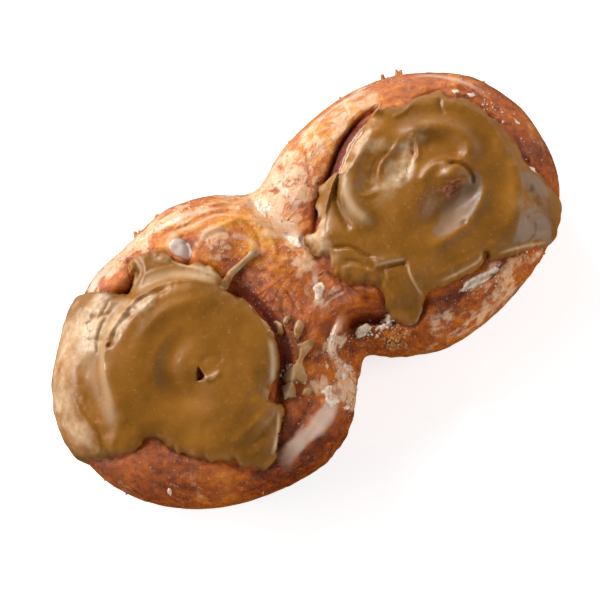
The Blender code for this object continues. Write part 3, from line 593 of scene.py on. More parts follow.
def dough_marks(points):
    """How brown, how deep in a crease and how glazed the crust is at each point, with the glaze runs that
    also carry a painted highlight.
    """
    x, y, z = points.T
    crease = np.zeros(len(points))
    for coil in (LEFT_COIL, RIGHT_COIL):
        inside = depth_inside(x, y, coil["outline"])
        outer, inner = coil["crease"]
        within = np.minimum(inside + outer, inner - inside)
        crease = np.maximum(crease, np.clip(within / 0.7, 0, 1) * openness(x, y, coil))
    for route, _, half_width in DOUGH_CREASES[:1]:
        distance, along, _ = distance_to_line(x, y, smooth_line(route))
        fade = np.clip((1 - along) * 4, 0, 1)
        crease = np.maximum(crease, fade * 0.8 * np.exp(-(distance / half_width) ** 2))
    crease = crease * np.clip((z - 15) / 6, 0, 1)
    brown = 0.48 + unevenness(x, y, (0.06, 17, 21)) + unevenness(x + z, y, (0.07, 6, 22))
    brown = brown + unevenness(x + z, y - z, (0.07, 1.8, 23)) + patches(x, y, BROWNER)
    relief = crust_relief(x, y)
    # Raised skin is paler. The sides get browner downward, but for a pale band where both
    # sides of the pastry floated clear of the oil.
    brown = brown - 0.16 * np.clip(relief, -1, 1) * (z > EQUATOR)
    brown = brown + 0.16 * np.clip((EQUATOR - z) / 10, 0, 1)
    brown = brown - 0.2 * np.exp(-((z - EQUATOR + PALE_BAND) / PALE_BAND) ** 2)
    run_and_highlight = np.zeros(len(points))
    for half_width, strength, route in GLAZE_RUNS_AND_HIGHLIGHTS:
        distance, _, fade = place_on_route(x, y, route, 4)
        reach = distance / half_width / (1 + unevenness(x, y, (0.35, 2.6, 24)))
        run_and_highlight = np.maximum(run_and_highlight, strength * fade * np.exp(-reach ** 4) * (z > EQUATOR))
    film = patches(x, y, FILMED) * (1 + 0.5 * np.clip(relief, -1, 1))
    film = film * np.clip((z - EQUATOR + 4) / 8, 0, 1) * (1 - crease)
    inside = depth_inside(x, y, RIGHT_COIL["outline"])
    start, end = LEAVES
    leaves = np.clip((inside - start) / 3, 0, 1) * (inside < end) * openness(x, y, RIGHT_COIL)
    return {"crease": crease, "brown": np.clip(brown, 0, 1), "film": np.clip(film, 0, 1),
            "layers": leaves, "run_and_highlight": run_and_highlight}


def rope_place(points):
    """Place round the rope of dough, then in from its rim: streaks drawn there follow the rope."""
    inside, along = rim_place(*points.T[:2])
    radius = RIM_LENGTH / math.tau
    angle = math.tau * along
    across = STREAK_STRETCH * (inside + 0.5 * points[:, 2])
    return np.stack([radius * np.cos(angle), radius * np.sin(angle), across], 1)


dough = add_piece("fried_dough", dough_points, dough_faces, dough_marks(dough_points))
layer = dough.data.attributes.new("rope", "FLOAT_VECTOR", "POINT")
layer.data.foreach_set("vector", (rope_place(dough_points) * MM).astype(np.float32).ravel())

# Fried yeast crust under a set sugar glaze: the wet gloss of the glaze over mottled orange to red-brown
# crust, and a thin white film of it that is cracked into small plates. Painted glints, and painted
# highlights along the glaze runs, are mixed into its colour.
crust, tree, place = new_material("fried_yeast_crust")
brown, crease, film_mark, layers, run_and_highlight_mark = (
    add_node(tree, "Attribute", attribute_name=mark, out="Fac")
    for mark in ("brown", "crease", "film", "layers", "run_and_highlight"))
mottle = add_node(tree, "TexNoise", {"Scale": 1 / (2.4 * MM), "Detail": 9, "Roughness": 0.75,
                  "Vector": place})
# Streaks 6 mm long and 2 mm wide, where the skin stretched along the rope as it rose.
rope = add_node(tree, "Attribute", attribute_name="rope", out="Vector")
streak = add_node(tree, "TexNoise", {"Scale": 1 / (5.5 * MM), "Detail": 5, "Roughness": 0.6,
                  "Vector": rope})
grain = add_node(tree, "TexNoise", {"Scale": 1 / (1.1 * MM), "Detail": 6, "Roughness": 0.75,
                 "Vector": place})
# Each pattern is centred on 0, and then added to how brown the place is by its own weight.
shade = brown
for pattern, weight in ((mottle, 0.75), (streak, 0.375), (grain, 0.5)):
    centred = add_node(tree, "Math", {0: pattern, 1: -0.5}, operation="ADD")
    shade = add_node(tree, "Math", {0: centred, 1: weight, 2: shade}, operation="MULTIPLY_ADD")
crust_colour = add_node(tree, "ValToRGB", {"Fac": shade}, [(0.05, "#F6B44A"), (0.95, "#3E1604"),
                        (0.24, "#E68C1E"), (0.42, "#CA660E"), (0.58, "#A44A0A"), (0.75, "#722C05")])
dark = add_node(tree, "Mix", {"Factor": crease, "A": crust_colour, "B": paint("#742A16")},
                data_type="RGBA")
# Where the coil tore off its turn, the dough's layers show edge on, each thin as a leaf.
ragged = add_node(tree, "TexNoise", {"Scale": 1 / (2.0 * MM), "Detail": 4, "Vector": place})
ragged = add_node(tree, "Math", {0: ragged, 1: -0.5}, operation="ADD")
ragged = add_node(tree, "Math", {0: ragged, 1: 0.45, 2: layers}, operation="MULTIPLY_ADD")
leaf_colour = add_node(tree, "ValToRGB", {"Fac": ragged}, [(0.1, "#6A2414"), (1.0, "#E08A3A"),
                       (0.2, "#E6C2A0"), (0.3, "#8A4630"), (0.42, "#EBC9A6"), (0.55, "#D07A30"),
                       (0.7, "#EFD2AE"), (0.82, "#D88840")])
leafed = add_node(tree, "MapRange", {"From Min": 0.03, "From Max": 0.1, "Value": layers})
dark = add_node(tree, "Mix", {"Factor": leafed, "A": dark, "B": leaf_colour}, data_type="RGBA")
# The film lies in plates about 5 mm across: bending their place by noise makes the cracks
# between them wander, and each plate has its own chance to have flaked off.
wander = add_node(tree, "TexNoise", {"Scale": 1 / (2.2 * MM), "Detail": 4, "Vector": place},
                  out="Color")
bent = add_node(tree, "VectorMath", {"Scale": 3.0 * MM, 0: wander}, operation="SCALE")
bent = add_node(tree, "VectorMath", {0: place, 1: bent}, operation="ADD")
plate = add_node(tree, "TexVoronoi", {"Scale": 1 / (5.0 * MM), "Vector": bent}, out="Color")
edges = add_node(tree, "TexVoronoi", {"Scale": 1 / (5.0 * MM), "Vector": bent},
                 feature="DISTANCE_TO_EDGE")
film_noise = add_node(tree, "TexNoise", {"Scale": 1 / (5.0 * MM), "Detail": 5, "Roughness": 0.6,
                      "Vector": place})
film = film_mark
for pattern, weight in ((film_noise, 1.5), (streak, 1.2), (plate, 0.35)):
    centred = add_node(tree, "Math", {0: pattern, 1: -0.5}, operation="ADD")
    film = add_node(tree, "Math", {0: centred, 1: weight, 2: film}, operation="MULTIPLY_ADD")
film = add_node(tree, "MapRange", {"From Min": 0.24, "From Max": 0.52, "To Max": 0.68, "Value": film})
glazed = add_node(tree, "MapRange", {"From Min": 0.02, "From Max": 0.2, "To Min": 0.15,
                  "Value": film_mark})
film = add_node(tree, "Math", {0: film, 1: glazed}, operation="MULTIPLY")
crack = add_node(tree, "MapRange", {"From Min": 0.01, "From Max": 0.06, "To Min": 0.15, "Value": edges})
whole = add_node(tree, "MapRange", {"From Min": 0.46, "From Max": 0.53, "Value": film_noise})
crack = add_node(tree, "Math", {0: crack, 1: whole}, operation="MAXIMUM")
film = add_node(tree, "Math", {0: film, 1: crack}, operation="MULTIPLY")
film_colour = add_node(tree, "ValToRGB", {"Fac": mottle}, [(0.36, "#E8AC74"), (0.6, "#F8D8B2")])
coated = add_node(tree, "Mix", {"Factor": film, "A": dark, "B": film_colour}, data_type="RGBA")
# Painted glints: crisp white specks half a millimetre across and in drifts, mixed into the crust's colour as
# painted highlights; they also raise its bump.
painted_glint = add_node(tree, "TexNoise", {"Scale": 1 / (0.9 * MM), "Detail": 5, "Roughness": 0.7,
                 "Vector": place})
painted_glint = add_node(tree, "MapRange", {"From Min": 0.61, "From Max": 0.67, "To Max": 0.8, "Value": painted_glint})
drifts = add_node(tree, "TexNoise", {"Scale": 1 / (8.0 * MM), "Detail": 3, "Vector": place})
drifts = add_node(tree, "MapRange", {"From Min": 0.42, "From Max": 0.6, "To Min": 0.1, "Value": drifts})
painted_glint = add_node(tree, "Math", {0: painted_glint, 1: drifts}, operation="MULTIPLY")
coated = add_node(tree, "Mix", {"Factor": painted_glint, "A": coated, "B": paint("#FFE6C4")}, data_type="RGBA")
# The runs are mixed in pale: partly real glaze, partly a painted highlight.
run_and_highlight_share = add_node(tree, "Math", {0: run_and_highlight_mark, 1: 0.72}, operation="MULTIPLY")
coated = add_node(tree, "Mix", {"Factor": run_and_highlight_share, "A": coated, "B": paint("#EFD6C0")}, data_type="RGBA")
relief = grain
for pattern, weight in ((film, 0.4), (streak, 0.7), (painted_glint, 0.6)):
    relief = add_node(tree, "Math", {0: pattern, 1: weight, 2: relief}, operation="MULTIPLY_ADD")
smoothed = add_node(tree, "Math", {0: run_and_highlight_mark, 1: -0.75, 2: 0.95}, operation="MULTIPLY_ADD")
smoothed = add_node(tree, "Math", {0: film, 1: -0.6, 2: smoothed}, operation="MULTIPLY_ADD")
rough = add_node(tree, "Bump", {"Distance": 0.55 * MM, "Height": relief, "Strength": smoothed})
dull = add_node(tree, "MapRange", {"From Min": 0.35, "From Max": 0.7, "To Min": 0.18, "To Max": 0.42,
                "Value": mottle})
wet = add_node(tree, "Math", {0: crease, 1: -0.5, 2: 0.8}, operation="MULTIPLY_ADD")
skin = add_node(tree, "BsdfPrincipled", {"IOR": 1.48, "Specular IOR Level": 0.25,
                "Coat Roughness": 0.06, "Subsurface Weight": 0.1, "Subsurface Radius": (1.0, 0.35, 0.1),
                "Subsurface Scale": 1.5 * MM, "Base Color": coated, "Roughness": dull,
                "Coat Weight": wet, "Normal": rough, "Coat Normal": rough})
add_node(tree, "OutputMaterial", {"Surface": skin})
dough.data.materials.append(crust)
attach(dough, "root")
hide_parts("dough")

# ---------------------------------------------------------------------------------------
# Cinnamon filling. Cinnamon, sugar and fat spread on the strip before it is rolled; the
# frying melts it to a dark red-brown paste that shows at the bottom of the open creases.
# ---------------------------------------------------------------------------------------
paste, tree, place = new_material("cinnamon_sugar_paste")
grains = add_node(tree, "TexNoise", {"Scale": 1 / (0.8 * MM), "Detail": 5, "Vector": place})
paste_colour = add_node(tree, "ValToRGB", {"Fac": grains}, [(0.3, "#6A1E10"), (0.75, "#A8452A")])
pitted = add_node(tree, "Bump", {"Strength": 0.6, "Distance": 0.3 * MM, "Height": grains})
moist = add_node(tree, "BsdfPrincipled", {"Roughness": 0.3, "Base Color": paste_colour,
                 "Normal": pitted})
add_node(tree, "OutputMaterial", {"Surface": moist})
for side in ("left", "right"):
    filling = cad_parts[f"cinnamon_filling_{side}"]
    filling.data.materials.clear()
    filling.data.materials.append(paste)

# ---------------------------------------------------------------------------------------
# Maple icing. Fondant icing with maple syrup, ladled warm over each coil: it bridges the
# turns, runs over the edge where the ladle went, and sets with a gloss and a thin skin
# that wrinkles, folds and cracks where it was touched.
# ---------------------------------------------------------------------------------------
ICING_CELL = 0.4
ICING_LIP = 1.1              # how far in from its edge the icing is rounded
THINNEST_ICING = 0.9
SLIT_DEPTH = 3.6
LOWEST_ICING = 6.0           # where the grids of the icings start and end
HIGHEST_ICING = 44.0
ICING_EDGE = [(0.5, 4.5, 31), (0.5, 1.6, 32), (0.25, 0.95, 34)]    # unevenness of its outline
ICING_HEM = (2.6, 12, 10)    # and of the height where it stops
LEFT_ICING = {"outline": LEFT_ICED, "hang": 11, "thickness": 2.3}
RIGHT_ICING = {"outline": RIGHT_ICED, "hang": 16.5, "thickness": 2.3}
# The torn slit in the middle of the left icing, and pits where it is torn or pressed.
SLIT = [(-39.6, -4), (-40.9, -5.4), (-41.6, -6.8), (-39.9, -7), (-39.3, -6.2)]
LEFT_STROKES = [
    ("hollow", -1.3, 4, [(-30, 6.6), (-35, 8), (-40, 8), (-45.4, 6.4), (-49.6, 2.6), (-51.6, -3),
         (-50.4, -9.6), (-46.4, -15), (-41, -18)]),
    ("ridge", 0.45, 0.8, [(-40.4, -8), (-38.8, -8.3), (-37, -8.7), (-35, -8.7)]),
    ("ridge", -0.25, 0.9, [(-38.8, -4), (-36, -3.2), (-33.6, -4.8), (-33.8, -7)]),
    ("bank", 0.8, 3.6, [(-20.6, 5), (-24, 12), (-31, 15.6), (-38, 17), (-46, 15.6), (-53, 12.6),
         (-58, 8)]),
    ("ridge", 0.4, 1.4, [(-25, 12.4), (-32, 16), (-40, 17.4), (-48, 15.6), (-55.5, 11.6)]),
    ("ridge", -0.3, 0.6, [(-53.4, 15.2), (-50.8, 17), (-48, 17.8), (-44.6, 17.6)]),
    ("ridge", -0.35, 0.5, [(-44, 19.4), (-40.5, 19.8), (-37, 18.8), (-33, 18)]),
    ("ridge", 0.3, 1.6, [(-56, 17.6), (-50, 20.4), (-44, 22.4), (-36, 22.8), (-28.6, 19.8),
         (-22.6, 14)]),
    ("step", 0.5, 2, [(-22.4, 17), (-27, 22.4), (-34, 25.6), (-41, 25.4)]),
    ("ridge", 0.4, 0.6, [(-30.6, 27.4), (-28, 25.8), (-27.2, 23.6)]),
    ("ridge", -0.9, 2.4, [(-60, 18), (-64.5, 12.7), (-65.8, 8.1), (-67.2, 3.1), (-68.3, -1.6),
         (-69, -7)]),
    ("ridge", 0.5, 2.4, [(-58.6, 12.4), (-61, 6), (-62.8, 0), (-63.4, -6)]),
    ("step", 0.6, 2.4, [(-74.6, -6.4), (-72.4, -5.6), (-70.6, -1.5), (-70.6, 4.8), (-69.6, 11.9)]),
    ("ridge", -0.5, 0.35, [(-58, 25.6), (-54, 23.4), (-50.6, 24), (-47, 26)]),
    ("ridge", -0.5, 0.35, [(-58.6, 20.6), (-56, 18), (-54, 15.4)]),
    ("ridge", -0.45, 0.35, [(-60, 22), (-57, 27), (-53, 30)]),
    ("step", 0.9, 2, [(-59.5, 14), (-56.6, 18.6), (-53, 21.6), (-48, 23.4)]),
    ("step", -0.7, 2, [(-56, 31), (-52, 28), (-48, 27), (-44, 26)]),
    ("ridge", 0.5, 1.4, [(-47, -26), (-41, -30.5), (-36.6, -30), (-31, -25.4)]),
    ("ridge", -0.5, 1.8, [(-34, -18), (-31, -19.6), (-27.6, -19.4)]),
    ("ridge", -0.5, 2, [(-44, -24.6), (-38, -22.4), (-31, -22.6)]),
]
RIGHT_STROKES = [
    ("ridge", 1.7, 2.4, [(39, 15.4), (44.8, 14.5), (48.2, 13.3), (51, 11.5), (53.3, 9), (54.5, 6.1),
         (54.7, 2.1), (53.9, -2.6)]),
    ("ridge", -1.3, 2.2, [(44.6, 10.6), (47.7, 10.2), (50, 7.8), (51.4, 4.4), (51.6, 0.4)]),
    ("ridge", -0.8, 2.8, [(38, 20), (45, 19.5), (50.5, 17.5), (55.5, 13.5), (58.8, 7.5), (59.2, 0),
         (57.5, -6)]),
    ("bank", -1.7, 5.6, [(24, -11.4), (29, -12.6), (34.2, -13), (37.6, -12.8), (41.6, -12.3),
         (45.6, -11), (49.6, -9), (51.6, -7.2), (53.4, -3.4)]),
    ("ridge", 0.9, 1.6, [(28.6, -13), (33.6, -14.6), (38, -14.6), (42.4, -14), (46.4, -12.6),
         (50.8, -10.2), (53.6, -6.6)]),
    ("ridge", -1.7, 0.55, [(46.6, 1.8), (48.7, 0.8), (50.4, -1.4), (50.8, -4.4), (49.5, -7)]),
    ("ridge", 0.9, 1.4, [(38, 1.4), (41, 3), (44.6, 3.2), (47.6, 1.4)]),
    ("bank", -1.2, 5, [(31, 0.6), (36, 2.8), (39.2, 5.4), (42.4, 8), (44.2, 10.8), (45, 14)]),
    ("ridge", 0.5, 0.6, [(40, 7.4), (41.9, 8.2), (42.9, 9.5), (43.9, 11.2), (44.4, 13)]),
    ("ridge", -0.5, 0.5, [(39.8, 8.4), (41.4, 9.4), (42.6, 11), (42.9, 12.4)]),
    ("ridge", 0.3, 0.5, [(41.2, 15.2), (39.1, 14.2), (36.7, 13.2), (34, 12.7), (31.6, 11.4),
         (29.7, 9.2)]),
    ("ridge", -0.3, 0.6, [(39.4, 15.2), (36.4, 14.2), (33.4, 13.6), (30.6, 11.8), (28.6, 9.2)]),
    ("ridge", -0.4, 0.4, [(33.4, 14.6), (30.2, 12.9), (27.4, 10.2)]),
    ("ridge", 0.6, 0.8, [(27.2, 14.9), (23.6, 12.4), (22.2, 10.5), (23.3, 8.3), (25.6, 7.1), (29, 7)]),
    ("ridge", 1.5, 2.2, [(40, 22.4), (34, 20.2), (28, 17.6), (23.6, 15), (20.8, 11.4), (20, 7),
         (20.2, 2.6), (20.8, -1.6)]),
    ("ridge", -1.1, 0.9, [(15, 2), (16, 7.6), (17.6, 12.2), (20.8, 16.6)]),
    ("step", 0.6, 1.8, [(18.4, 0.6), (16.6, 5.6), (18, 9.6), (20.2, 14)]),
    ("ridge", 0.7, 1.5, [(12, 12.6), (15.6, 15.8), (19.6, 17.4)]),
    ("step", 1, 1.8, [(17.6, -10.6), (15.5, -7.4), (13.8, -5.1), (13, -2.5), (11.3, -0.4), (7.6, 2)]),
    ("ridge", -0.9, 0.45, [(8.2, 2), (11.6, -0.4), (13.4, -2.6), (14.2, -5.1), (16, -8)]),
    ("step", 1.7, 2.2, [(14.2, -9.6), (17, -10.4), (19.7, -11.6), (22.6, -13)]),
    ("ridge", -0.9, 0.45, [(16.6, -11.2), (19.6, -12.2), (22.2, -13.5)]),
    ("step", 0.8, 1.6, [(22.4, -13.2), (21.3, -15.4), (20.2, -18.4), (20, -21)]),
    ("step", 0.8, 1.4, [(13.6, -10.2), (16.2, -10.9), (15.8, -12.5), (15, -14.8)]),
    ("ridge", 0.6, 0.7, [(14.4, -16), (13.9, -20), (14.6, -23.6), (17, -24), (20.6, -22.2)]),
    ("step", -0.7, 1.4, [(6.6, -3.4), (9.6, -5), (12.6, -8.4), (14.6, -11.6)]),
    ("ridge", -0.5, 0.4, [(9, -2.6), (11.8, -5.8), (12.6, -9.4)]),
    ("ridge", 0.6, 1, [(24, -20.6), (31, -21.6), (38, -22.6), (43, -22.4), (48, -24)]),
    ("ridge", 0.6, 0.6, [(38.6, -24.2), (41.4, -22.6), (42.2, -24.6)]),
    ("ridge", 1, 2.6, [(63, -6), (61, -11.4), (57.4, -16.2), (53.6, -20.2), (47.6, -23.4)]),
    ("bank", -1.8, 8, [(64.4, -7), (62.2, -11.2), (58.7, -16.6), (54.8, -20.8), (48.4, -24.6)]),
    ("ridge", -0.6, 0.7, [(59.6, -15.8), (61.4, -20.4), (62.6, -25.6)]),
    ("ridge", 0.5, 0.8, [(56, -22), (60, -22.6), (63.4, -25.6)]),
    ("ridge", -0.4, 0.4, [(51, -26.4), (56, -26), (58, -23)]),
    ("step", -0.6, 2.4, [(65.6, -13), (64.6, -19), (66.6, -24)]),
    ("ridge", 0.5, 1.6, [(61.6, -6), (63, 2), (61.6, 10), (56, 18)]),
    ("ridge", -0.5, 0.6, [(57.8, 18.8), (55.6, 16.4), (55, 13.4)]),
    ("ridge", 0.5, 0.7, [(43, 21.4), (46.6, 20.6), (50, 21.4)]),
]
# Knobs and dents: plan centre, height, reach.
LEFT_KNOBS = [
    ((-53.6, 24.6), -0.9, (0.9, 0.9)), ((-51, 23), -0.8, (1.2, 0.6)), ((-54.8, 14.8), -0.8, (0.9, 0.6)),
    ((-31, 28.6), -0.5, (4, 3)),
]
RIGHT_KNOBS = [
    ((46.8, -1.4), 3.2, (4.4, 3.6)), ((44.6, -4.8), -2.2, (2.2, 1.5)),
    ((61.9, -15.6), -1.3, (0.9, 0.9)), ((26.6, 10.4), -1.3, (3.4, 3.4)),
    ((41.2, -13.6), -0.6, (0.8, 0.6)), ((31, -2), 0.7, (6, 6)), ((41.2, 25), 0.9, (1.6, 1.4)),
    ((23.6, 16.6), 0.8, (1.4, 1.2)),
]
# Patches where the skin is torn and pitted: centre, reach, strength.
LEFT_TORN = [
    ((-46, 18.6), (7.5, 2.4), 0.75), ((-36, 18.2), (5, 1.6), 0.8), ((-55, 22), (5, 6), 0.35),
    ((-52, 27), (6, 3), 0.35),
]
RIGHT_TORN = [
    ((45.6, -3.8), (3.4, 2), 1), ((50, 22), (2, 1.6), 0.6), ((50.4, -10.4), (2.4, 1.2), 0.4),
    ((61, -17), (5, 6), 0.2),
]
# Where the skin peeled off, and it shows rough and creamy.
PEELED = [
    [(45.6, 14.3), (43.6, 14.8), (41, 14.7), (38.6, 13.5), (36.6, 12.6), (34.4, 12.4), (32.4, 11.6),
         (30.3, 9.4), (28.9, 7.3), (30, 5.6), (31.9, 4.8), (32.9, 3), (34.7, 3.4), (36.1, 3.4),
         (37.7, 4.7), (38.7, 6.5), (40.1, 7.5), (41.3, 8.6), (42.4, 11), (43.2, 12.4)],
]
# Painted sheen: grey patches on the icing with crisp edges, standing in for the reflection of the lights on
# its slopes.
PAINTED_SHEEN_PATCHES = [
    [(38.8, -6.1), (43.9, -5.6), (47.6, -5), (51.4, -3.6), (53, -6), (51.6, -8.6), (49.6, -10.5),
         (45.7, -12.9), (40.5, -14.2), (36.3, -14), (33.5, -13.3), (32.3, -10.4), (35.5, -9.2),
         (37.6, -7.6)],
    [(62.6, -10.8), (66.4, -14), (66.8, -19.2), (65, -20.3), (61.9, -17.4), (60.2, -14)],
    [(56.8, -19.5), (61, -21.6), (62.4, -25), (61.1, -28.6), (60.1, -30.4), (57, -28.2), (52.9, -26.9),
         (48.9, -25.2), (52, -22.6)],
    [(-23.4, -14.6), (-24.2, -17.4), (-26.6, -20), (-28.4, -20.4), (-26.4, -18), (-24.6, -15)],
]
# Patches of icing that are paler and creamier, partly real dried cream and partly painted sheen on slopes
# and edges that face the light: centre, reach, strength.
CREAM_AND_SHEEN = [
    ((28, 9), (6, 6), 0.3), ((-53, 24), (8, 6), 0.75), ((-42, 18.6), (9, 2.4), 0.6),
    ((34, 18.6), (6, 3), 0.4), ((46, 12), (6, 4), 0.3), ((58, -22), (4, 6), 0.35),
    ((31.4, 6.6), (2, 2), 0.5), ((39.4, 13.6), (2.4, 1.4), 0.4), ((38.6, 6.8), (1.6, 1.4), 0.4),
    ((-62, 24), (7, 8), 0.5), ((-24, 17), (3, 4), 0.35), ((-75, 8), (4, 12), 0.36),
    ((-72, 17), (5, 7), 0.4), ((-75, 0), (2.4, 4), 0.3), ((7, 6.4), (2.6, 4), 0.6),
    ((19, 18), (4, 1.6), 0.6), ((30, 20), (4, 1.4), 0.5), ((47, -5.6), (4, 1.6), 0.4),
    ((-37.4, -8.6), (1.8, 0.8), 0.6), ((-28.6, -21), (2, 2.6), 0.4), ((-17.8, -7), (1, 5), 0.7),
    ((6.4, 0.8), (1.8, 3), 0.6), ((9.4, 9.4), (3, 1), 0.9), ((12.4, 13.2), (1.6, 2.4), 0.7),
    ((24.6, 17.4), (2.4, 1.4), 0.7), ((34, 21.6), (5, 0.9), 0.6), ((-29, 26.8), (3, 2), 0.4),
    ((-22, 16), (1.6, 3.6), 0.5),
]
# Painted highlights along thin edges and folds of icing that face the light: half width, strength, plan
# route.
PAINTED_EDGE_HIGHLIGHTS = [
    (1.2, 0.3, [(-55, 18), (-58.6, 13), (-62, 6.6), (-64.6, 1), (-66.6, -4)]),
    (0.35, 0.8, [(-37, -33.6), (-34, -31.2), (-31, -28), (-28.6, -24.8)]),
    (0.7, 0.7, [(-19.6, -8.4), (-21, -11.6), (-23.4, -15.4), (-26.8, -19.6)]),
    (0.5, 0.7, [(-28, 25), (-26.3, 22.3), (-23.7, 19.2), (-21.4, 15.8), (-19.6, 12.6)]),
    (1.4, 0.5, [(-41, 22), (-37.6, 23.6), (-34.3, 23.3), (-30, 21.5), (-26.2, 18.4), (-23.6, 15.1),
         (-21.4, 11.8)]),
    (1.2, 0.5, [(25, 16.4), (21.6, 13.2), (19.9, 9.8), (19.3, 6.4), (19.7, 3.4), (20.4, -0.6)]),
    (0.3, 0.6, [(22, -13.8), (20.9, -16.4), (20.4, -20.4), (20.8, -22.6)]),
    (0.3, 0.7, [(14, -9.2), (17, -10.2), (19.7, -11.4), (22.6, -12.8)]),
    (0.35, 0.6, [(40, 13.6), (41.6, 11.4), (40.6, 8.6), (38.4, 6.6)]),
    (0.3, 0.6, [(41, -22.8), (38, -23.9), (32, -23.3), (26, -22.4)]),
    (0.3, 0.6, [(44, -25.2), (52, -27.4), (59, -29.4)]),
    (0.3, 0.6, [(20.6, -24), (17.6, -26), (15.2, -26.8), (13, -25.4)]),
]
# Patches where the icing is so torn that the dough's crumb shows: centre, reach, strength.
CRUMB = [
    ((44.8, -4.4), (2.6, 1.5), 0.85), ((42.4, -3.2), (2.4, 1.2), 0.5), ((41.6, 10), (0.8, 1.8), 1),
    ((-48, 19), (4.4, 1), 0.2), ((-40, 21), (3.4, 0.8), 0.35), ((-53, 24.6), (1.2, 0.7), 0.6),
    ((-55, 17.6), (0.8, 1.2), 0.3), ((51, 0), (0.9, 2.6), 0.4), ((-69, 4), (1.4, 9), 0.25),
    ((36, -1.6), (6, 2.6), 0.22),
]


def smooth_least(a, b, width):
    """The lesser of two fields, rounded over where they cross."""
    share = np.clip(0.5 + 0.5 * (b - a) / width, 0, 1)
    return b + (a - b) * share - width * share * (1 - share)


def as_distance(field, cell):
    """A field rescaled so that it grows by 1 for each mm near its zero."""
    slopes = np.gradient(field, cell)
    steepness = np.sqrt(sum(slope ** 2 for slope in slopes))
    return field / np.maximum(steepness, 0.25)


def peeled_skin(x, y):
    """1 where the skin peeled off, fading over its ragged border."""
    return sum(np.clip((depth_inside(x, y, outline, 3) + unevenness(x, y, (1.1, 2, 33))) / 2.2, 0, 1)
               for outline in PEELED)


def icing_thickness(x, y, icing):
    """Thickness of the icing: its own, with the strokes, knobs, pits and pimples in its top."""
    relief = icing["thickness"] + unevenness(x, y, (0.16, 8, 9), (0.07, 2.4, 15))
    relief = add_strokes(relief, x, y, icing["strokes"])
    for centre, height, reach in icing["knobs"]:
        relief = relief + height * bump(x, y, centre, reach)
    peeled = peeled_skin(x, y)
    torn = patches(x, y, icing["torn"]) + 0.9 * peeled
    relief = relief - 0.25 * peeled
    relief = relief + torn * unevenness(x, y, (0.35, 1.7, 16), (0.25, 0.9, 17))
    relief = relief + pimples(x, y, 110, (-62, -34), (66, 24), (0.3, 0.6), 18)
    relief = -smooth_least(-relief, np.full(x.shape, -THINNEST_ICING), 0.8)
    return relief - SLIT_DEPTH * shoulder(depth_inside(x, y, SLIT), 1.0)


def icing_field(x, y, heights, cell, icing):
    """Signed field of an icing, from just below the dough's skin up to its own top."""
    smooth_top = top_height(x, y)
    for _ in range(int(3.5 / cell ** 2)):
        padded = np.pad(smooth_top, 1, mode="edge")
        smooth_top = np.maximum(smooth_top, (padded[2:, 1:-1] + padded[:-2, 1:-1]
                                             + padded[1:-1, 2:] + padded[1:-1, :-2]) / 4)
    skin = as_distance(dough_field(x, y, heights, smooth_top), cell)
    inside = depth_inside(x, y, icing["outline"])
    inside = inside + unevenness(x, y, *ICING_EDGE)
    hang = icing["hang"] + unevenness(x, y, ICING_HEM)[:, :, None]
    inside = smooth_least(inside[:, :, None], heights[None, None, :] - hang, 5.0)
    thickness = icing_thickness(x, y, icing)[:, :, None]
    layer = thickness * (0.4 * shoulder(inside, ICING_LIP) + 0.6 * shoulder(inside, 7 * ICING_LIP))
    return np.maximum(np.maximum(skin - layer, -2.5 - skin), -inside - 0.2)


# Set maple fondant: an even tan-brown with a smooth gloss, creamier where its skin broke, with painted sheen
# and painted highlights mixed into its colour.
fondant, tree, place = new_material("maple_fondant_icing")
drift = add_node(tree, "TexNoise", {"Scale": 1 / (11 * MM), "Detail": 5, "Roughness": 0.55,
                 "Vector": place})
fondant_colour = add_node(tree, "ValToRGB", {"Fac": drift}, [(0.32, "#7F5012"), (0.68, "#A1681F")])
cream_and_sheen_mark, crumb_mark, painted_sheen_mark, painted_highlight = (
    add_node(tree, "Attribute", attribute_name=mark, out="Fac")
    for mark in ("cream_and_sheen", "crumb", "painted_sheen", "painted_highlight"))
specks = add_node(tree, "TexNoise", {"Scale": 1 / (1.5 * MM), "Detail": 5, "Roughness": 0.6,
                  "Vector": place})
clouds = add_node(tree, "TexNoise", {"Scale": 1 / (5.0 * MM), "Detail": 4, "Roughness": 0.5,
                  "Vector": place})
# Cream and painted sheen: pale patches mixed into the icing's colour.
cream_and_sheen = add_node(tree, "Math", {0: clouds, 1: -0.5}, operation="ADD")
cream_and_sheen = add_node(tree, "Math", {0: cream_and_sheen, 1: 1.8, 2: cream_and_sheen_mark}, operation="MULTIPLY_ADD")
cream_and_sheen = add_node(tree, "MapRange", {"From Min": 0.15, "From Max": 0.9, "To Max": 0.8, "Value": cream_and_sheen})
marked = add_node(tree, "MapRange", {"From Min": 0.02, "From Max": 0.3, "Value": cream_and_sheen_mark})
cream_and_sheen = add_node(tree, "Math", {0: cream_and_sheen, 1: marked}, operation="MULTIPLY")
cream_and_sheen_colour = add_node(tree, "ValToRGB", {"Fac": specks}, [(0.36, "#C6A274"), (0.6, "#DEC3A0")])
icing_with_cream_and_sheen = add_node(tree, "Mix", {"Factor": cream_and_sheen, "A": fondant_colour, "B": cream_and_sheen_colour},
                  data_type="RGBA")
# Fine dried specks of sugar, as pale dots all over its skin.
dots = add_node(tree, "TexNoise", {"Scale": 1 / (0.8 * MM), "Detail": 3, "Roughness": 0.6,
                "Vector": place})
dots = add_node(tree, "MapRange", {"From Min": 0.62, "From Max": 0.74, "To Max": 0.4, "Value": dots})
icing_with_cream_and_sheen = add_node(tree, "Mix", {"Factor": dots, "A": icing_with_cream_and_sheen, "B": paint("#C6A06A")}, data_type="RGBA")
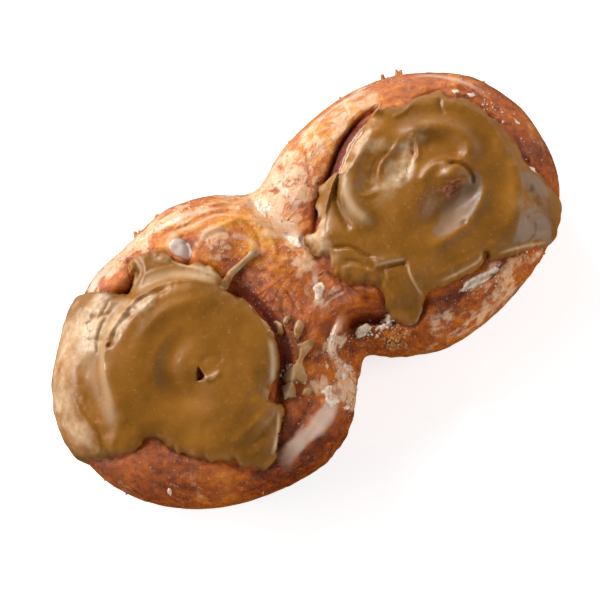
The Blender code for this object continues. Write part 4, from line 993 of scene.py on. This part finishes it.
# Painted sheen: grey patches mixed into the colour where the lights would reflect.
painted_sheen = add_node(tree, "Math", {0: painted_sheen_mark, 1: 0.62}, operation="MULTIPLY")
icing_with_cream_and_sheen = add_node(tree, "Mix", {"Factor": painted_sheen, "A": icing_with_cream_and_sheen, "B": paint("#8E7864")}, data_type="RGBA")
# Painted highlights along the lit edges and folds.
icing_with_cream_and_sheen = add_node(tree, "Mix", {"Factor": painted_highlight, "A": icing_with_cream_and_sheen, "B": paint("#D6B88E")}, data_type="RGBA")
# The creamy skin over the coil's shoulder cracked as it dried, in hair cracks 4 to 5 mm apart.
shift = add_node(tree, "VectorMath", {"Scale": 5.0 * MM, 0: clouds.node.outputs["Color"]},
                 operation="SCALE")
shift = add_node(tree, "VectorMath", {0: place, 1: shift}, operation="ADD")
hair = add_node(tree, "TexVoronoi", {"Scale": 1 / (4.6 * MM), "Vector": shift},
                feature="DISTANCE_TO_EDGE")
hair = add_node(tree, "MapRange", {"From Min": 0.005, "From Max": 0.03, "To Min": 1.0, "To Max": 0.0,
                "Value": hair})
cracked = add_node(tree, "MapRange", {"From Min": 0.55, "From Max": 0.8, "To Max": 0.7, "Value": cream_and_sheen})
hair = add_node(tree, "Math", {0: hair, 1: cracked}, operation="MULTIPLY")
icing_with_cream_and_sheen = add_node(tree, "Mix", {"Factor": hair, "A": icing_with_cream_and_sheen, "B": paint("#6E3C10")}, data_type="RGBA")
crumb = add_node(tree, "Math", {0: specks, 1: -0.5}, operation="ADD")
crumb = add_node(tree, "Math", {0: crumb, 1: 1.6, 2: crumb_mark}, operation="MULTIPLY_ADD")
crumb = add_node(tree, "MapRange", {"From Min": 0.15, "From Max": 0.7, "To Max": 0.9, "Value": crumb})
crumb_colour = add_node(tree, "ValToRGB", {"Fac": specks}, [(0.4, "#7C3A1C"), (0.62, "#C08058")])
torn = add_node(tree, "Mix", {"Factor": crumb, "A": icing_with_cream_and_sheen, "B": crumb_colour}, data_type="RGBA")
sunk = add_node(tree, "Math", {0: hair, 1: -2.0, 2: specks}, operation="MULTIPLY_ADD")
skin_bump = add_node(tree, "Bump", {"Strength": 0.2, "Distance": 0.15 * MM, "Height": sunk})
set_icing = add_node(tree, "BsdfPrincipled", {"Roughness": 0.38, "IOR": 1.48, "Specular IOR Level": 0.4,
                     "Coat Weight": 0.15, "Coat Roughness": 0.16, "Subsurface Weight": 0.15,
                     "Subsurface Radius": (1.0, 0.6, 0.3), "Subsurface Scale": 1.0 * MM,
                     "Base Color": torn, "Normal": skin_bump})
add_node(tree, "OutputMaterial", {"Surface": set_icing})

LEFT_ICING.update(strokes=LEFT_STROKES, knobs=LEFT_KNOBS, torn=LEFT_TORN)
RIGHT_ICING.update(strokes=RIGHT_STROKES, knobs=RIGHT_KNOBS, torn=RIGHT_TORN)
for side, icing in (("left", LEFT_ICING), ("right", RIGHT_ICING)):
    outline = np.array(icing["outline"])
    low = (*(outline.min(0) - 4), LOWEST_ICING)
    high = (*(outline.max(0) + 4), HIGHEST_ICING)
    x, y, heights = plan_grid(low, high, ICING_CELL)
    field = icing_field(x, y, heights, ICING_CELL, icing)
    points, faces = surface_net(field, low, ICING_CELL)
    points = settle(points, field, low, ICING_CELL)
    x, y, _ = points.T
    slit = 0.8 * (depth_inside(x, y, SLIT) > 0.1)
    edge_highlight = np.zeros(len(points))
    for half_width, strength, route in PAINTED_EDGE_HIGHLIGHTS:
        distance, _, fade = place_on_route(x, y, route, 5)
        edge_highlight = np.maximum(edge_highlight, strength * fade * np.exp(-(distance / half_width) ** 2))
    painted_sheen_area = sum(np.clip(depth_inside(x, y, outline, 3) / 0.6, 0, 1) for outline in PAINTED_SHEEN_PATCHES)
    marks = {"cream_and_sheen": 0.55 * peeled_skin(x, y) + patches(x, y, CREAM_AND_SHEEN), "painted_highlight": edge_highlight,
             "crumb": np.maximum(patches(x, y, CRUMB), slit), "painted_sheen": painted_sheen_area}
    piece = add_piece(f"set_icing_{side}", points, faces, marks)
    piece.data.materials.append(fondant)
    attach(piece, "root")
    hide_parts(f"maple_icing_{side}")

# ---------------------------------------------------------------------------------------
# Scraps and thread of icing. Drips and torn bits of the same maple icing that fell on the
# waist between the coils and set where they lay, as thin as a coin, with ragged edges.
# ---------------------------------------------------------------------------------------
STAR_SCRAP = [
    (-9.6, -14.1), (-10, -15.7), (-12.3, -16.7), (-14.4, -17.2), (-15.9, -18.2), (-16.6, -19.7),
    (-17.3, -22.8), (-19.4, -23), (-20.4, -21.6), (-23, -20.4), (-23.4, -18.6), (-21.5, -17.1),
    (-17.9, -17.2), (-16.1, -16.4), (-14.8, -15.1), (-14.5, -13.5), (-13.1, -13.7),
]
# Small scraps: plan outline and thickness.
SMALL_SCRAPS = [
    ([(-15.2, -4.2), (-14.3, -5.6), (-14.5, -7.6), (-15.6, -9), (-16.4, -8.3), (-16, -6.4)], 1.3),
    ([(-13.4, -6.2), (-11.8, -5.4), (-10.7, -5.9), (-12, -7), (-13.3, -7.2)], 1),
    ([(-12.2, -9), (-10.4, -8), (-9.5, -8.6), (-9.7, -10.5), (-10.8, -11.5), (-12.8, -12.4),
         (-13.8, -11.6), (-13.2, -10)], 1.2),
    ([(-21.6, -25.2), (-19.6, -24.2), (-18.2, -25), (-19.4, -26.2)], 0.9),
    ([(-25.4, -23.4), (-24.6, -20.8), (-22.6, -19.6), (-21, -20.8), (-21.6, -22.8),
         (-22.8, -24.4)], 1.4),
]
THREAD = [
    (-21.4, 11), (-19.2, 11.8), (-17, 12.7), (-15.2, 12.9), (-13, 13.2), (-10.5, 13.5), (-8.2, 13.7),
]
THREAD_RADIUS = 1.0
SCRAP_PAINTED_LIGHT = 0.5            # painted lighter than the thick icing, as if lit: painted light
SCRAP_CELL = 0.28
SCRAP_LIP = 0.4              # how far in from its edge a scrap is rounded at once


def skin_height(x, y):
    """Height of the crust, rounded down toward the dough's edge."""
    edge = np.clip(1 - depth_inside(x, y, DOUGH_OUTLINE) / TOP_ROUNDING, 0, 1)
    top = top_height(x, y) + crust_relief(x, y)
    return EQUATOR + (top - EQUATOR) * (1 - edge ** ROUNDING_POWER) ** (1 / ROUNDING_POWER)


def laid_piece(outline, thickness, rough, seed, rounding=1.6, per_span=8, ragged=0.34):
    """Points and faces of a flat lump that lies on the crust within a ragged outline."""
    outline = np.array(outline)
    low = (*(outline.min(0) - 1.5), 0.0)
    high = (*(outline.max(0) + 1.5), 1.0)
    x, y, _ = plan_grid(low, high, SCRAP_CELL)
    ground = skin_height(x, y)
    inside = depth_inside(x, y, outline, per_span) + unevenness(x, y, (ragged, 0.9, seed))
    top = ground + thickness * (0.5 * shoulder(inside, SCRAP_LIP) + 0.5 * shoulder(inside, rounding))
    top = top + unevenness(x, y, (rough, 1.6, seed + 1), (0.6 * rough, 0.8, seed + 2))
    low = (*low[:2], ground.min() - 1.0)
    heights = np.arange(low[2], top.max() + 1.0, SCRAP_CELL)
    z = heights[None, None, :]
    field = np.maximum(z - top[:, :, None], ground[:, :, None] - 0.5 - z)
    field = np.maximum(field, -inside[:, :, None])
    points, faces = surface_net(field, low, SCRAP_CELL)
    return settle(points, field, low, SCRAP_CELL), faces


def laid_thread(route, radius):
    """Points and faces of a thread that lies on the crust, with a bulb at its far end."""
    line = smooth_line(route)
    low = (*(line.min(0) - 2.0), 0.0)
    high = (*(line.max(0) + 2.0), 1.0)
    x, y, _ = plan_grid(low, high, SCRAP_CELL)
    distance, along, _ = distance_to_line(x, y, line)
    ground = skin_height(x, y)
    waist = 1.2 - 0.9 * along + 0.7 * along ** 2 + 0.2 * np.exp(-((along - 0.93) / 0.08) ** 2)
    thick = radius * (waist + unevenness(x, y, (0.14, 1.6, 41)))[:, :, None]
    low = (*low[:2], ground.min() - 1.5)
    heights = np.arange(low[2], ground.max() + 2.5, SCRAP_CELL)
    up = heights[None, None, :] - ground[:, :, None] - 0.6 * thick
    field = np.hypot(distance[:, :, None], up) - thick
    points, faces = surface_net(field, low, SCRAP_CELL)
    return settle(points, field, low, SCRAP_CELL), faces


def join(parts):
    """Many points and faces as one."""
    points = np.concatenate([part[0] for part in parts])
    starts = np.cumsum([0] + [len(part[0]) for part in parts[:-1]])
    return points, np.concatenate([part[1] + start for part, start in zip(parts, starts)])


star = add_piece("icing_scrap_star", *laid_piece(STAR_SCRAP, 1.6, 0.16, 51, rounding=1.1, per_span=1))
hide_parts("icing_scrap")
parts = [laid_piece(outline, thickness, 0.1, 60 + number, rounding=0.9, per_span=2)
         for number, (outline, thickness) in enumerate(SMALL_SCRAPS)]
scraps = add_piece("small_icing_scraps", *join(parts))
thread = add_piece("icing_thread", *laid_thread(THREAD, THREAD_RADIUS))
# The scraps and thread are painted lighter through the cream and sheen mark, as painted light.
for piece in (star, scraps, thread):
    layer = piece.data.attributes.new("cream_and_sheen", "FLOAT", "POINT")
    layer.data.foreach_set("value", np.full(len(piece.data.vertices), SCRAP_PAINTED_LIGHT, np.float32))
    piece.data.materials.append(fondant)
    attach(piece, "root")

# ---------------------------------------------------------------------------------------
# Sugar glaze. Icing sugar and water, brushed on hot: most of it is the film on the crust,
# but where it pooled or flaked it stands white and thick, matt and brittle when dry.
# ---------------------------------------------------------------------------------------
# Chips of it: plan centre, reach, least and greatest radius, how many.
GLAZE_CHIPS = [
    ((8.6, -22.4), (3.4, 1.3), (0.25, 0.6), 26), ((-7.6, -27), (2.6, 4), (0.15, 0.45), 22),
    ((-10, -33), (3, 2), (0.15, 0.4), 12), ((-19, -21.6), (2, 1.6), (0.2, 0.5), 16),
    ((-20.4, -17.2), (1.8, 1.4), (0.2, 0.55), 30), ((-5.4, -17.6), (2.4, 1.6), (0.15, 0.4), 30),
    ((3, -19.6), (3, 1.4), (0.15, 0.4), 24), ((68, 6), (3.6, 14), (0.12, 0.35), 40),
    ((44, 33), (16, 3), (0.12, 0.3), 40), ((2, 18), (2, 10), (0.12, 0.35), 30),
    ((42, -30), (14, 3), (0.12, 0.35), 40), ((-38, 35), (14, 3), (0.12, 0.3), 24),
    ((12, 27), (10, 7), (0.1, 0.3), 40),
]
# The wet pool, then dry flakes: plan outline, thickness and roughness of the top.
GLAZE_POOL = [
    (-26.2, 27.8), (-25.6, 29.4), (-23.8, 29.8), (-22.2, 28.6), (-21.2, 26.6), (-21.8, 24),
    (-23.6, 22.8), (-25, 24.2), (-26, 25.8),
]
FLAKE_DRIED = 0.6            # share of its wet thickness that a flake keeps
GLAZE_FLAKES = [
    ([(-16.4, -27.6), (-14.1, -26.9), (-13, -27.4), (-14.1, -28.5), (-13.4, -30.5), (-13.4, -31.7),
         (-15.6, -32.3), (-16.9, -31.9), (-17.3, -30.4), (-16.4, -29.3)], 0.8, 0.16),
    ([(-7.4, -24), (-5.8, -23.7), (-5, -25.2), (-6.4, -26.2), (-7.6, -25.2)], 0.7, 0.2),
    ([(-1.3, -3.1), (0.6, -2.3), (1.9, -3), (1.8, -4.8), (0.2, -6.3), (-2.1, -6.9), (-3.1, -5.8),
         (-1.7, -4.4)], 0.6, 0.35),
    ([(0.7, -18.4), (2.7, -18.1), (5.9, -18.8), (6.6, -20.2), (5.2, -20.6), (3.3, -21.2),
         (1.5, -20.7)], 1, 0.3),
    ([(7.2, -20.6), (9, -21.2), (9.6, -22.6), (8.2, -22.9), (6.8, -21.9)], 0.8, 0.3),
    ([(-5, -16.2), (-3.4, -15.8), (-3.9, -17), (-5.6, -18)], 0.6, 0.2),
    ([(-14, -33.4), (-12.4, -33), (-11.6, -34.2), (-13.2, -34.8)], 0.5, 0.2),
    ([(-9.6, -26.6), (-8, -25.8), (-7.6, -27), (-9.2, -27.8)], 0.5, 0.2),
    ([(-11.6, -22), (-10.4, -21.4), (-10.2, -22.8), (-11.4, -23.4)], 0.6, 0.2),
    ([(8.6, -20), (11, -19.8), (12.6, -21.2), (10.2, -21.8)], 0.7, 0.3),
    ([(29.5, -27.2), (33, -25.6), (37.5, -26.6), (41.5, -26.8), (43.6, -28.2), (39.5, -29),
         (34, -28.6)], 0.4, 0.15),
    ([(66.6, -9.8), (67.4, -11.6), (67, -13.8), (65.8, -12.6), (65.6, -10.6)], 0.6, 0.15),
    ([(71.6, 3.8), (72.4, 2.6), (72, 0.6), (71, 1.6)], 0.6, 0.15),
    ([(65.4, 16.4), (67.2, 15.6), (67, 14.2), (65.2, 14.8)], 0.5, 0.2),
    ([(62.6, 19.6), (64.4, 18.6), (64, 17.4), (62.4, 18.2)], 0.4, 0.2),
    ([(-65, -24.2), (-63.8, -23.6), (-63.2, -24.8), (-64.4, -25.4)], 0.6, 0.15),
    ([(1, 27.6), (2.6, 26.4), (1.8, 22.6), (0.6, 20.6), (-0.2, 23.6), (0.2, 26)], 0.5, 0.2),
    ([(1.2, 14.6), (2.8, 12.6), (4.2, 8.8), (2.8, 7.2), (1.6, 10)], 0.5, 0.2),
]
# How much a strewn lump is squashed, dented and sunk, as shares of its radius.
SQUASH = (0.6, 1.3)
DENT = 0.13
SUNK = 0.65


def lump_shape(rounds):
    """Points and faces of a round lump of radius 1."""
    ball = bmesh.new()
    bmesh.ops.create_icosphere(ball, subdivisions=rounds, radius=1.0)
    ball.verts.ensure_lookup_table()
    points = np.array([vert.co[:] for vert in ball.verts])
    faces = np.array([[vert.index for vert in face.verts] for face in ball.faces])
    ball.free()
    return points, faces


def strewn(places, shape, seed):
    """Lumps strewn over the bare crust, each squashed, dented and turned in its own way."""
    draw = np.random.default_rng(seed)
    points, faces = shape
    parts = []
    for centre, reach, sizes, count in places:
        spot = np.array(centre) + draw.normal(size=(count, 2)) * np.array(reach) * 0.6
        bare = depth_inside(*spot.T, DOUGH_OUTLINE) > 1.0
        for outline in (LEFT_ICED, RIGHT_ICED):
            bare &= depth_inside(*spot.T, outline) < -0.4
        spot = spot[bare]
        heights = skin_height(*spot.T)
        for (x, y), z in zip(spot, heights):
            radius = draw.uniform(*sizes)
            shaped = points * draw.uniform(*SQUASH, 3) + draw.normal(size=points.shape) * DENT
            turn = Euler(draw.uniform(0, math.tau, 3)).to_matrix()
            shaped = shaped @ np.array(turn) * radius
            parts.append((shaped + np.array([x, y, z + (1 - SUNK) * radius]), faces))
    return join(parts)


glaze, tree, place = new_material("dried_sugar_glaze")
frost = add_node(tree, "TexNoise", {"Scale": 1 / (1.1 * MM), "Detail": 6, "Roughness": 0.65,
                 "Vector": place})
glaze_colour = add_node(tree, "ValToRGB", {"Fac": frost}, [(0.38, "#CFA07C"), (0.56, "#F0DECB")])
pool_mark = add_node(tree, "Attribute", attribute_name="pool", out="Fac")
milky = add_node(tree, "Mix", {"Factor": pool_mark, "A": glaze_colour, "B": paint("#CFB8AC")},
                 data_type="RGBA")
crisp = add_node(tree, "Math", {0: pool_mark, 1: -0.5, 2: 0.5}, operation="MULTIPLY_ADD")
crazed = add_node(tree, "Bump", {"Distance": 0.25 * MM, "Height": frost, "Strength": crisp})
gloss = add_node(tree, "Math", {0: pool_mark, 1: -0.25, 2: 0.35}, operation="MULTIPLY_ADD")
dry_glaze = add_node(tree, "BsdfPrincipled", {"IOR": 1.49, "Subsurface Weight": 0.3,
                     "Subsurface Radius": (1.0, 0.8, 0.6), "Subsurface Scale": 0.8 * MM,
                     "Base Color": milky, "Roughness": gloss, "Normal": crazed})
add_node(tree, "OutputMaterial", {"Surface": dry_glaze})
parts = [laid_piece(GLAZE_POOL, 0.55, 0.05, 70, ragged=0.12)]
parts += [laid_piece(outline, FLAKE_DRIED * thickness, rough, 71 + 3 * number, rounding=0.5, per_span=1)
          for number, (outline, thickness, rough) in enumerate(GLAZE_FLAKES)]
points, faces = join(parts)
pool = np.arange(len(points)) < len(parts[0][0])
flakes = add_piece("sugar_glaze_flakes", points, faces, {"pool": pool})
chips = add_piece("sugar_glaze_chips", *strewn(GLAZE_CHIPS, lump_shape(1), 83))
for piece in (flakes, chips):
    piece.data.materials.append(glaze)
    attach(piece, "root")

# ---------------------------------------------------------------------------------------
# Crumbs and sugar grains. Bits of crust that broke off in the oil and stuck to the glaze,
# and grains of sugar round the waist: each has its own size, squash and turn.
# ---------------------------------------------------------------------------------------
# Where they lie: plan centre, reach, least and greatest radius, how many.
CRUMBS = [
    ((6, -21.5), (8, 2), (0.12, 0.32), 60), ((7.6, -27.2), (4.6, 2.6), (0.15, 0.5), 170),
    ((-8, -22), (4, 3), (0.12, 0.3), 20), ((-14, -8), (2.4, 8), (0.12, 0.32), 40),
]
FINE = (0.07, 0.18)
GRAINS = [
    ((-6, 10), (8, 12), (0.08, 0.2), 90), ((-30, 35.6), (16, 2.4), (0.1, 0.26), 80),
    ((14, 30), (14, 5), (0.1, 0.24), 60), ((-11, 0), (5, 12), FINE, 80), ((6, -22), (12, 3), FINE, 150),
    ((-12, 18), (8, 7), FINE, 60), ((20, 27), (18, 6), FINE, 60), ((66, 6), (5, 16), FINE, 50),
    ((-20, -30), (16, 5), FINE, 50), ((30, -29), (16, 4), FINE, 50), ((-60, -22), (12, 10), FINE, 20),
]
# Larger crumbs that stand out past the rim: plan place, height, length and width.
RIM_CRUMBS = [
    ((-30.6, 38.2), 22, 2.2, 0.7), ((-29.2, 38.4), 21, 1.6, 0.6), ((-22.6, 39.8), 21, 1.3, 0.8),
    ((51.6, 35.8), 20, 1.5, 0.6), ((55.6, 34.4), 19, 2.2, 0.7), ((56.6, 34.2), 20, 1.2, 0.5),
]
RIM_GRIT = 90                # smaller crumbs all round the rim
GRIT_SIZES = ((15, 20), (0.3, 0.7), (0.2, 0.45))     # their heights, lengths and widths
COIL_MIDDLE = 38.0           # how far each coil's middle is from the pastry's
ICOSPHERE_ROUNDS = 2


def rim_crumb(place, height, length, width, seed):
    """A long crumb that points outward from the rim of the dough."""
    draw = np.random.default_rng(seed)
    points, faces = lump_shape(ICOSPHERE_ROUNDS)
    shaped = points * np.array([length, width, width * 0.8]) + draw.normal(size=points.shape) * 0.12
    away = math.atan2(place[1], place[0] - math.copysign(COIL_MIDDLE, place[0]))
    turn = np.array([[math.cos(away), math.sin(away), 0], [-math.sin(away), math.cos(away), 0], [0, 0, 1]])
    return shaped @ turn + np.array([*place, height]), faces


toasted, tree, place = new_material("toasted_crumb")
toast = add_node(tree, "TexNoise", {"Scale": 1 / (0.7 * MM), "Detail": 4, "Vector": place})
toast_colour = add_node(tree, "ValToRGB", {"Fac": toast}, [(0.35, "#8A4A18"), (0.65, "#DBA566")])
crumbly = add_node(tree, "Bump", {"Strength": 0.6, "Distance": 0.2 * MM, "Height": toast})
dry = add_node(tree, "BsdfPrincipled", {"Roughness": 0.55, "Base Color": toast_colour,
               "Normal": crumbly})
add_node(tree, "OutputMaterial", {"Surface": dry})
parts = [strewn(CRUMBS, lump_shape(ICOSPHERE_ROUNDS), 81)]
parts += [rim_crumb(*sizes, 90 + number) for number, sizes in enumerate(RIM_CRUMBS)]
draw = np.random.default_rng(84)
rim = smooth_line(DOUGH_OUTLINE, closed=True)
for number, spot in enumerate(draw.choice(rim, RIM_GRIT)):
    spot = spot - 0.01 * (spot - (math.copysign(COIL_MIDDLE, spot[0]), 0.0)) + draw.uniform(-0.2, 0.2, 2)
    sizes = [draw.uniform(*span) for span in GRIT_SIZES]
    parts.append(rim_crumb(spot, *sizes, 100 + number))
crumbs = add_piece("crust_crumbs", *join(parts))
crumbs.data.materials.append(toasted)

# Sugar: clear crystals that look white, with a glint on each face.
sugar, tree, place = new_material("sugar_crystal")
clear = add_node(tree, "TexNoise", {"Scale": 1 / (0.5 * MM), "Vector": place})
sugar_colour = add_node(tree, "ValToRGB", {"Fac": clear}, [(0.3, "#E8C08A"), (0.7, "#FBEBD2")])
crystal = add_node(tree, "BsdfPrincipled", {"Roughness": 0.15, "IOR": 1.56, "Subsurface Weight": 0.3,
                   "Subsurface Radius": (1.0, 1.0, 1.0), "Subsurface Scale": 0.3 * MM,
                   "Base Color": sugar_colour})
add_node(tree, "OutputMaterial", {"Surface": crystal})
grains = add_piece("sugar_grains", *strewn(GRAINS, lump_shape(1), 82))
grains.data.shade_flat()
grains.data.materials.append(sugar)
for piece in (crumbs, grains):
    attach(piece, "root")

# ---------------------------------------------------------------------------------------
# Floor, light and camera. White paper, a large soft box at the upper left of the view with
# a second one and a small bare bulb near it, a low strip and a fill at its lower right, a
# room that is darker overhead, and a long lens 76 degrees above the table.
# ---------------------------------------------------------------------------------------
AZIMUTH = math.radians(36.2)
ELEVATION = math.radians(76.0)
CAMERA_DISTANCE = 0.6
AIM = Vector((-4.297, -1.253, 17.0)) * MM
SENSOR = 36.0
PIXELS_PER_METRE = 3651.6    # of the photo's 600, at the aim point
PHOTO_SIZE = 600
LIGHT_DISTANCE = 1.2         # metres from the pastry, for every light
LIT_SIDE = (-0.14, 0.5, 0.0) # the room is lighter toward this side
DIMMED = 0.86                # and this much darker overhead
FLOOR_DROP = 0.1             # mm, so that the flat base and the table never share a plane

floor_mesh = bpy.data.meshes.new("table_top")
floor_mesh.from_pydata([(-3, -3, 0), (3, -3, 0), (3, 3, 0), (-3, 3, 0)], [], [(0, 1, 2, 3)])
floor = bpy.data.objects.new("table_top", floor_mesh)
floor.location.z = -FLOOR_DROP * MM
bpy.context.scene.collection.objects.link(floor)
table, tree, _ = new_material("white_paper")
paper = add_node(tree, "BsdfPrincipled", {"Base Color": paint("#FBFBFB"), "Roughness": 0.9,
                 "Emission Color": paint("#FFFFFF"), "Emission Strength": 0.6})
add_node(tree, "OutputMaterial", {"Surface": paper})
floor_mesh.materials.append(table)
# Like the fill, it lights the pastry without a glint: the photo's crust shows no white floor.
floor.visible_glossy = False
floor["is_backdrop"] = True

world = bpy.data.worlds.new("soft_room")
bpy.context.scene.world = world
world.use_nodes = True
around = add_node(world.node_tree, "TexCoord")
side = add_node(world.node_tree, "VectorMath", {0: around, 1: LIT_SIDE},
                operation="DOT_PRODUCT")
axes = add_node(world.node_tree, "SeparateXYZ", {0: around}, out="Z")
slant = add_node(world.node_tree, "Math", {0: axes}, operation="ABSOLUTE")
slant = add_node(world.node_tree, "Math", {0: slant, 1: -DIMMED, 2: side}, operation="MULTIPLY_ADD")
glow = add_node(world.node_tree, "MapRange", {"From Min": -0.6, "From Max": 0.5, "To Min": 0.0,
                "To Max": 1.12, "Value": slant})
backdrop = world.node_tree.nodes["Background"]
backdrop.inputs["Color"].default_value = paint("#FFFFFF")
world.node_tree.links.new(glow, backdrop.inputs["Strength"])


def add_light(name, toward, width, height, watts):
    """A soft box that shines at the pastry from a direction."""
    lamp = bpy.data.lights.new(name, "AREA")
    lamp.energy = watts
    lamp.shape = "RECTANGLE"
    lamp.size = width
    lamp.size_y = height
    made = bpy.data.objects.new(name, lamp)
    bpy.context.scene.collection.objects.link(made)
    made.location = Vector(toward).normalized() * LIGHT_DISTANCE
    made.rotation_euler = (-Vector(toward)).to_track_quat("-Z", "Y").to_euler()
    return made


add_light("key_soft_box", (-0.2, 1.0, 0.55), 1.0, 0.6, 14.0)
add_light("side_soft_box", (-0.9, 0.65, 0.50), 0.8, 0.6, 3.9)
add_light("bare_bulb", (-0.5, 0.95, 0.75), 0.14, 0.14, 3.0)
add_light("low_strip", (0.807, -0.59, 0.2), 1.3, 0.4, 2.2)
# The fill is polarised across the lens, so that it lights the crust but does not glint.
fill = add_light("polarised_fill", (0.6, -0.9, 0.7), 1.4, 1.4, 9.3)
fill.visible_glossy = False

camera_data = bpy.data.cameras.new("camera")
camera = bpy.data.objects.new("camera", camera_data)
bpy.context.scene.collection.objects.link(camera)
up_the_page = Vector((math.sin(AZIMUTH), math.cos(AZIMUTH), 0))
back = Vector((0, 0, math.sin(ELEVATION))) - up_the_page * math.cos(ELEVATION)
camera.location = AIM + back * CAMERA_DISTANCE
camera.rotation_euler = back.to_track_quat("Z", "Y").to_euler()
camera_data.sensor_width = SENSOR
camera_data.lens = SENSOR * PIXELS_PER_METRE * CAMERA_DISTANCE / PHOTO_SIZE
camera_data.clip_start = 0.05
bpy.context.scene.camera = camera
bpy.context.scene.view_settings.view_transform = "Standard"

sizes = {"cad": [list(corner) for corner in cad_box], "visual": [list(corner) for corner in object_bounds()]}
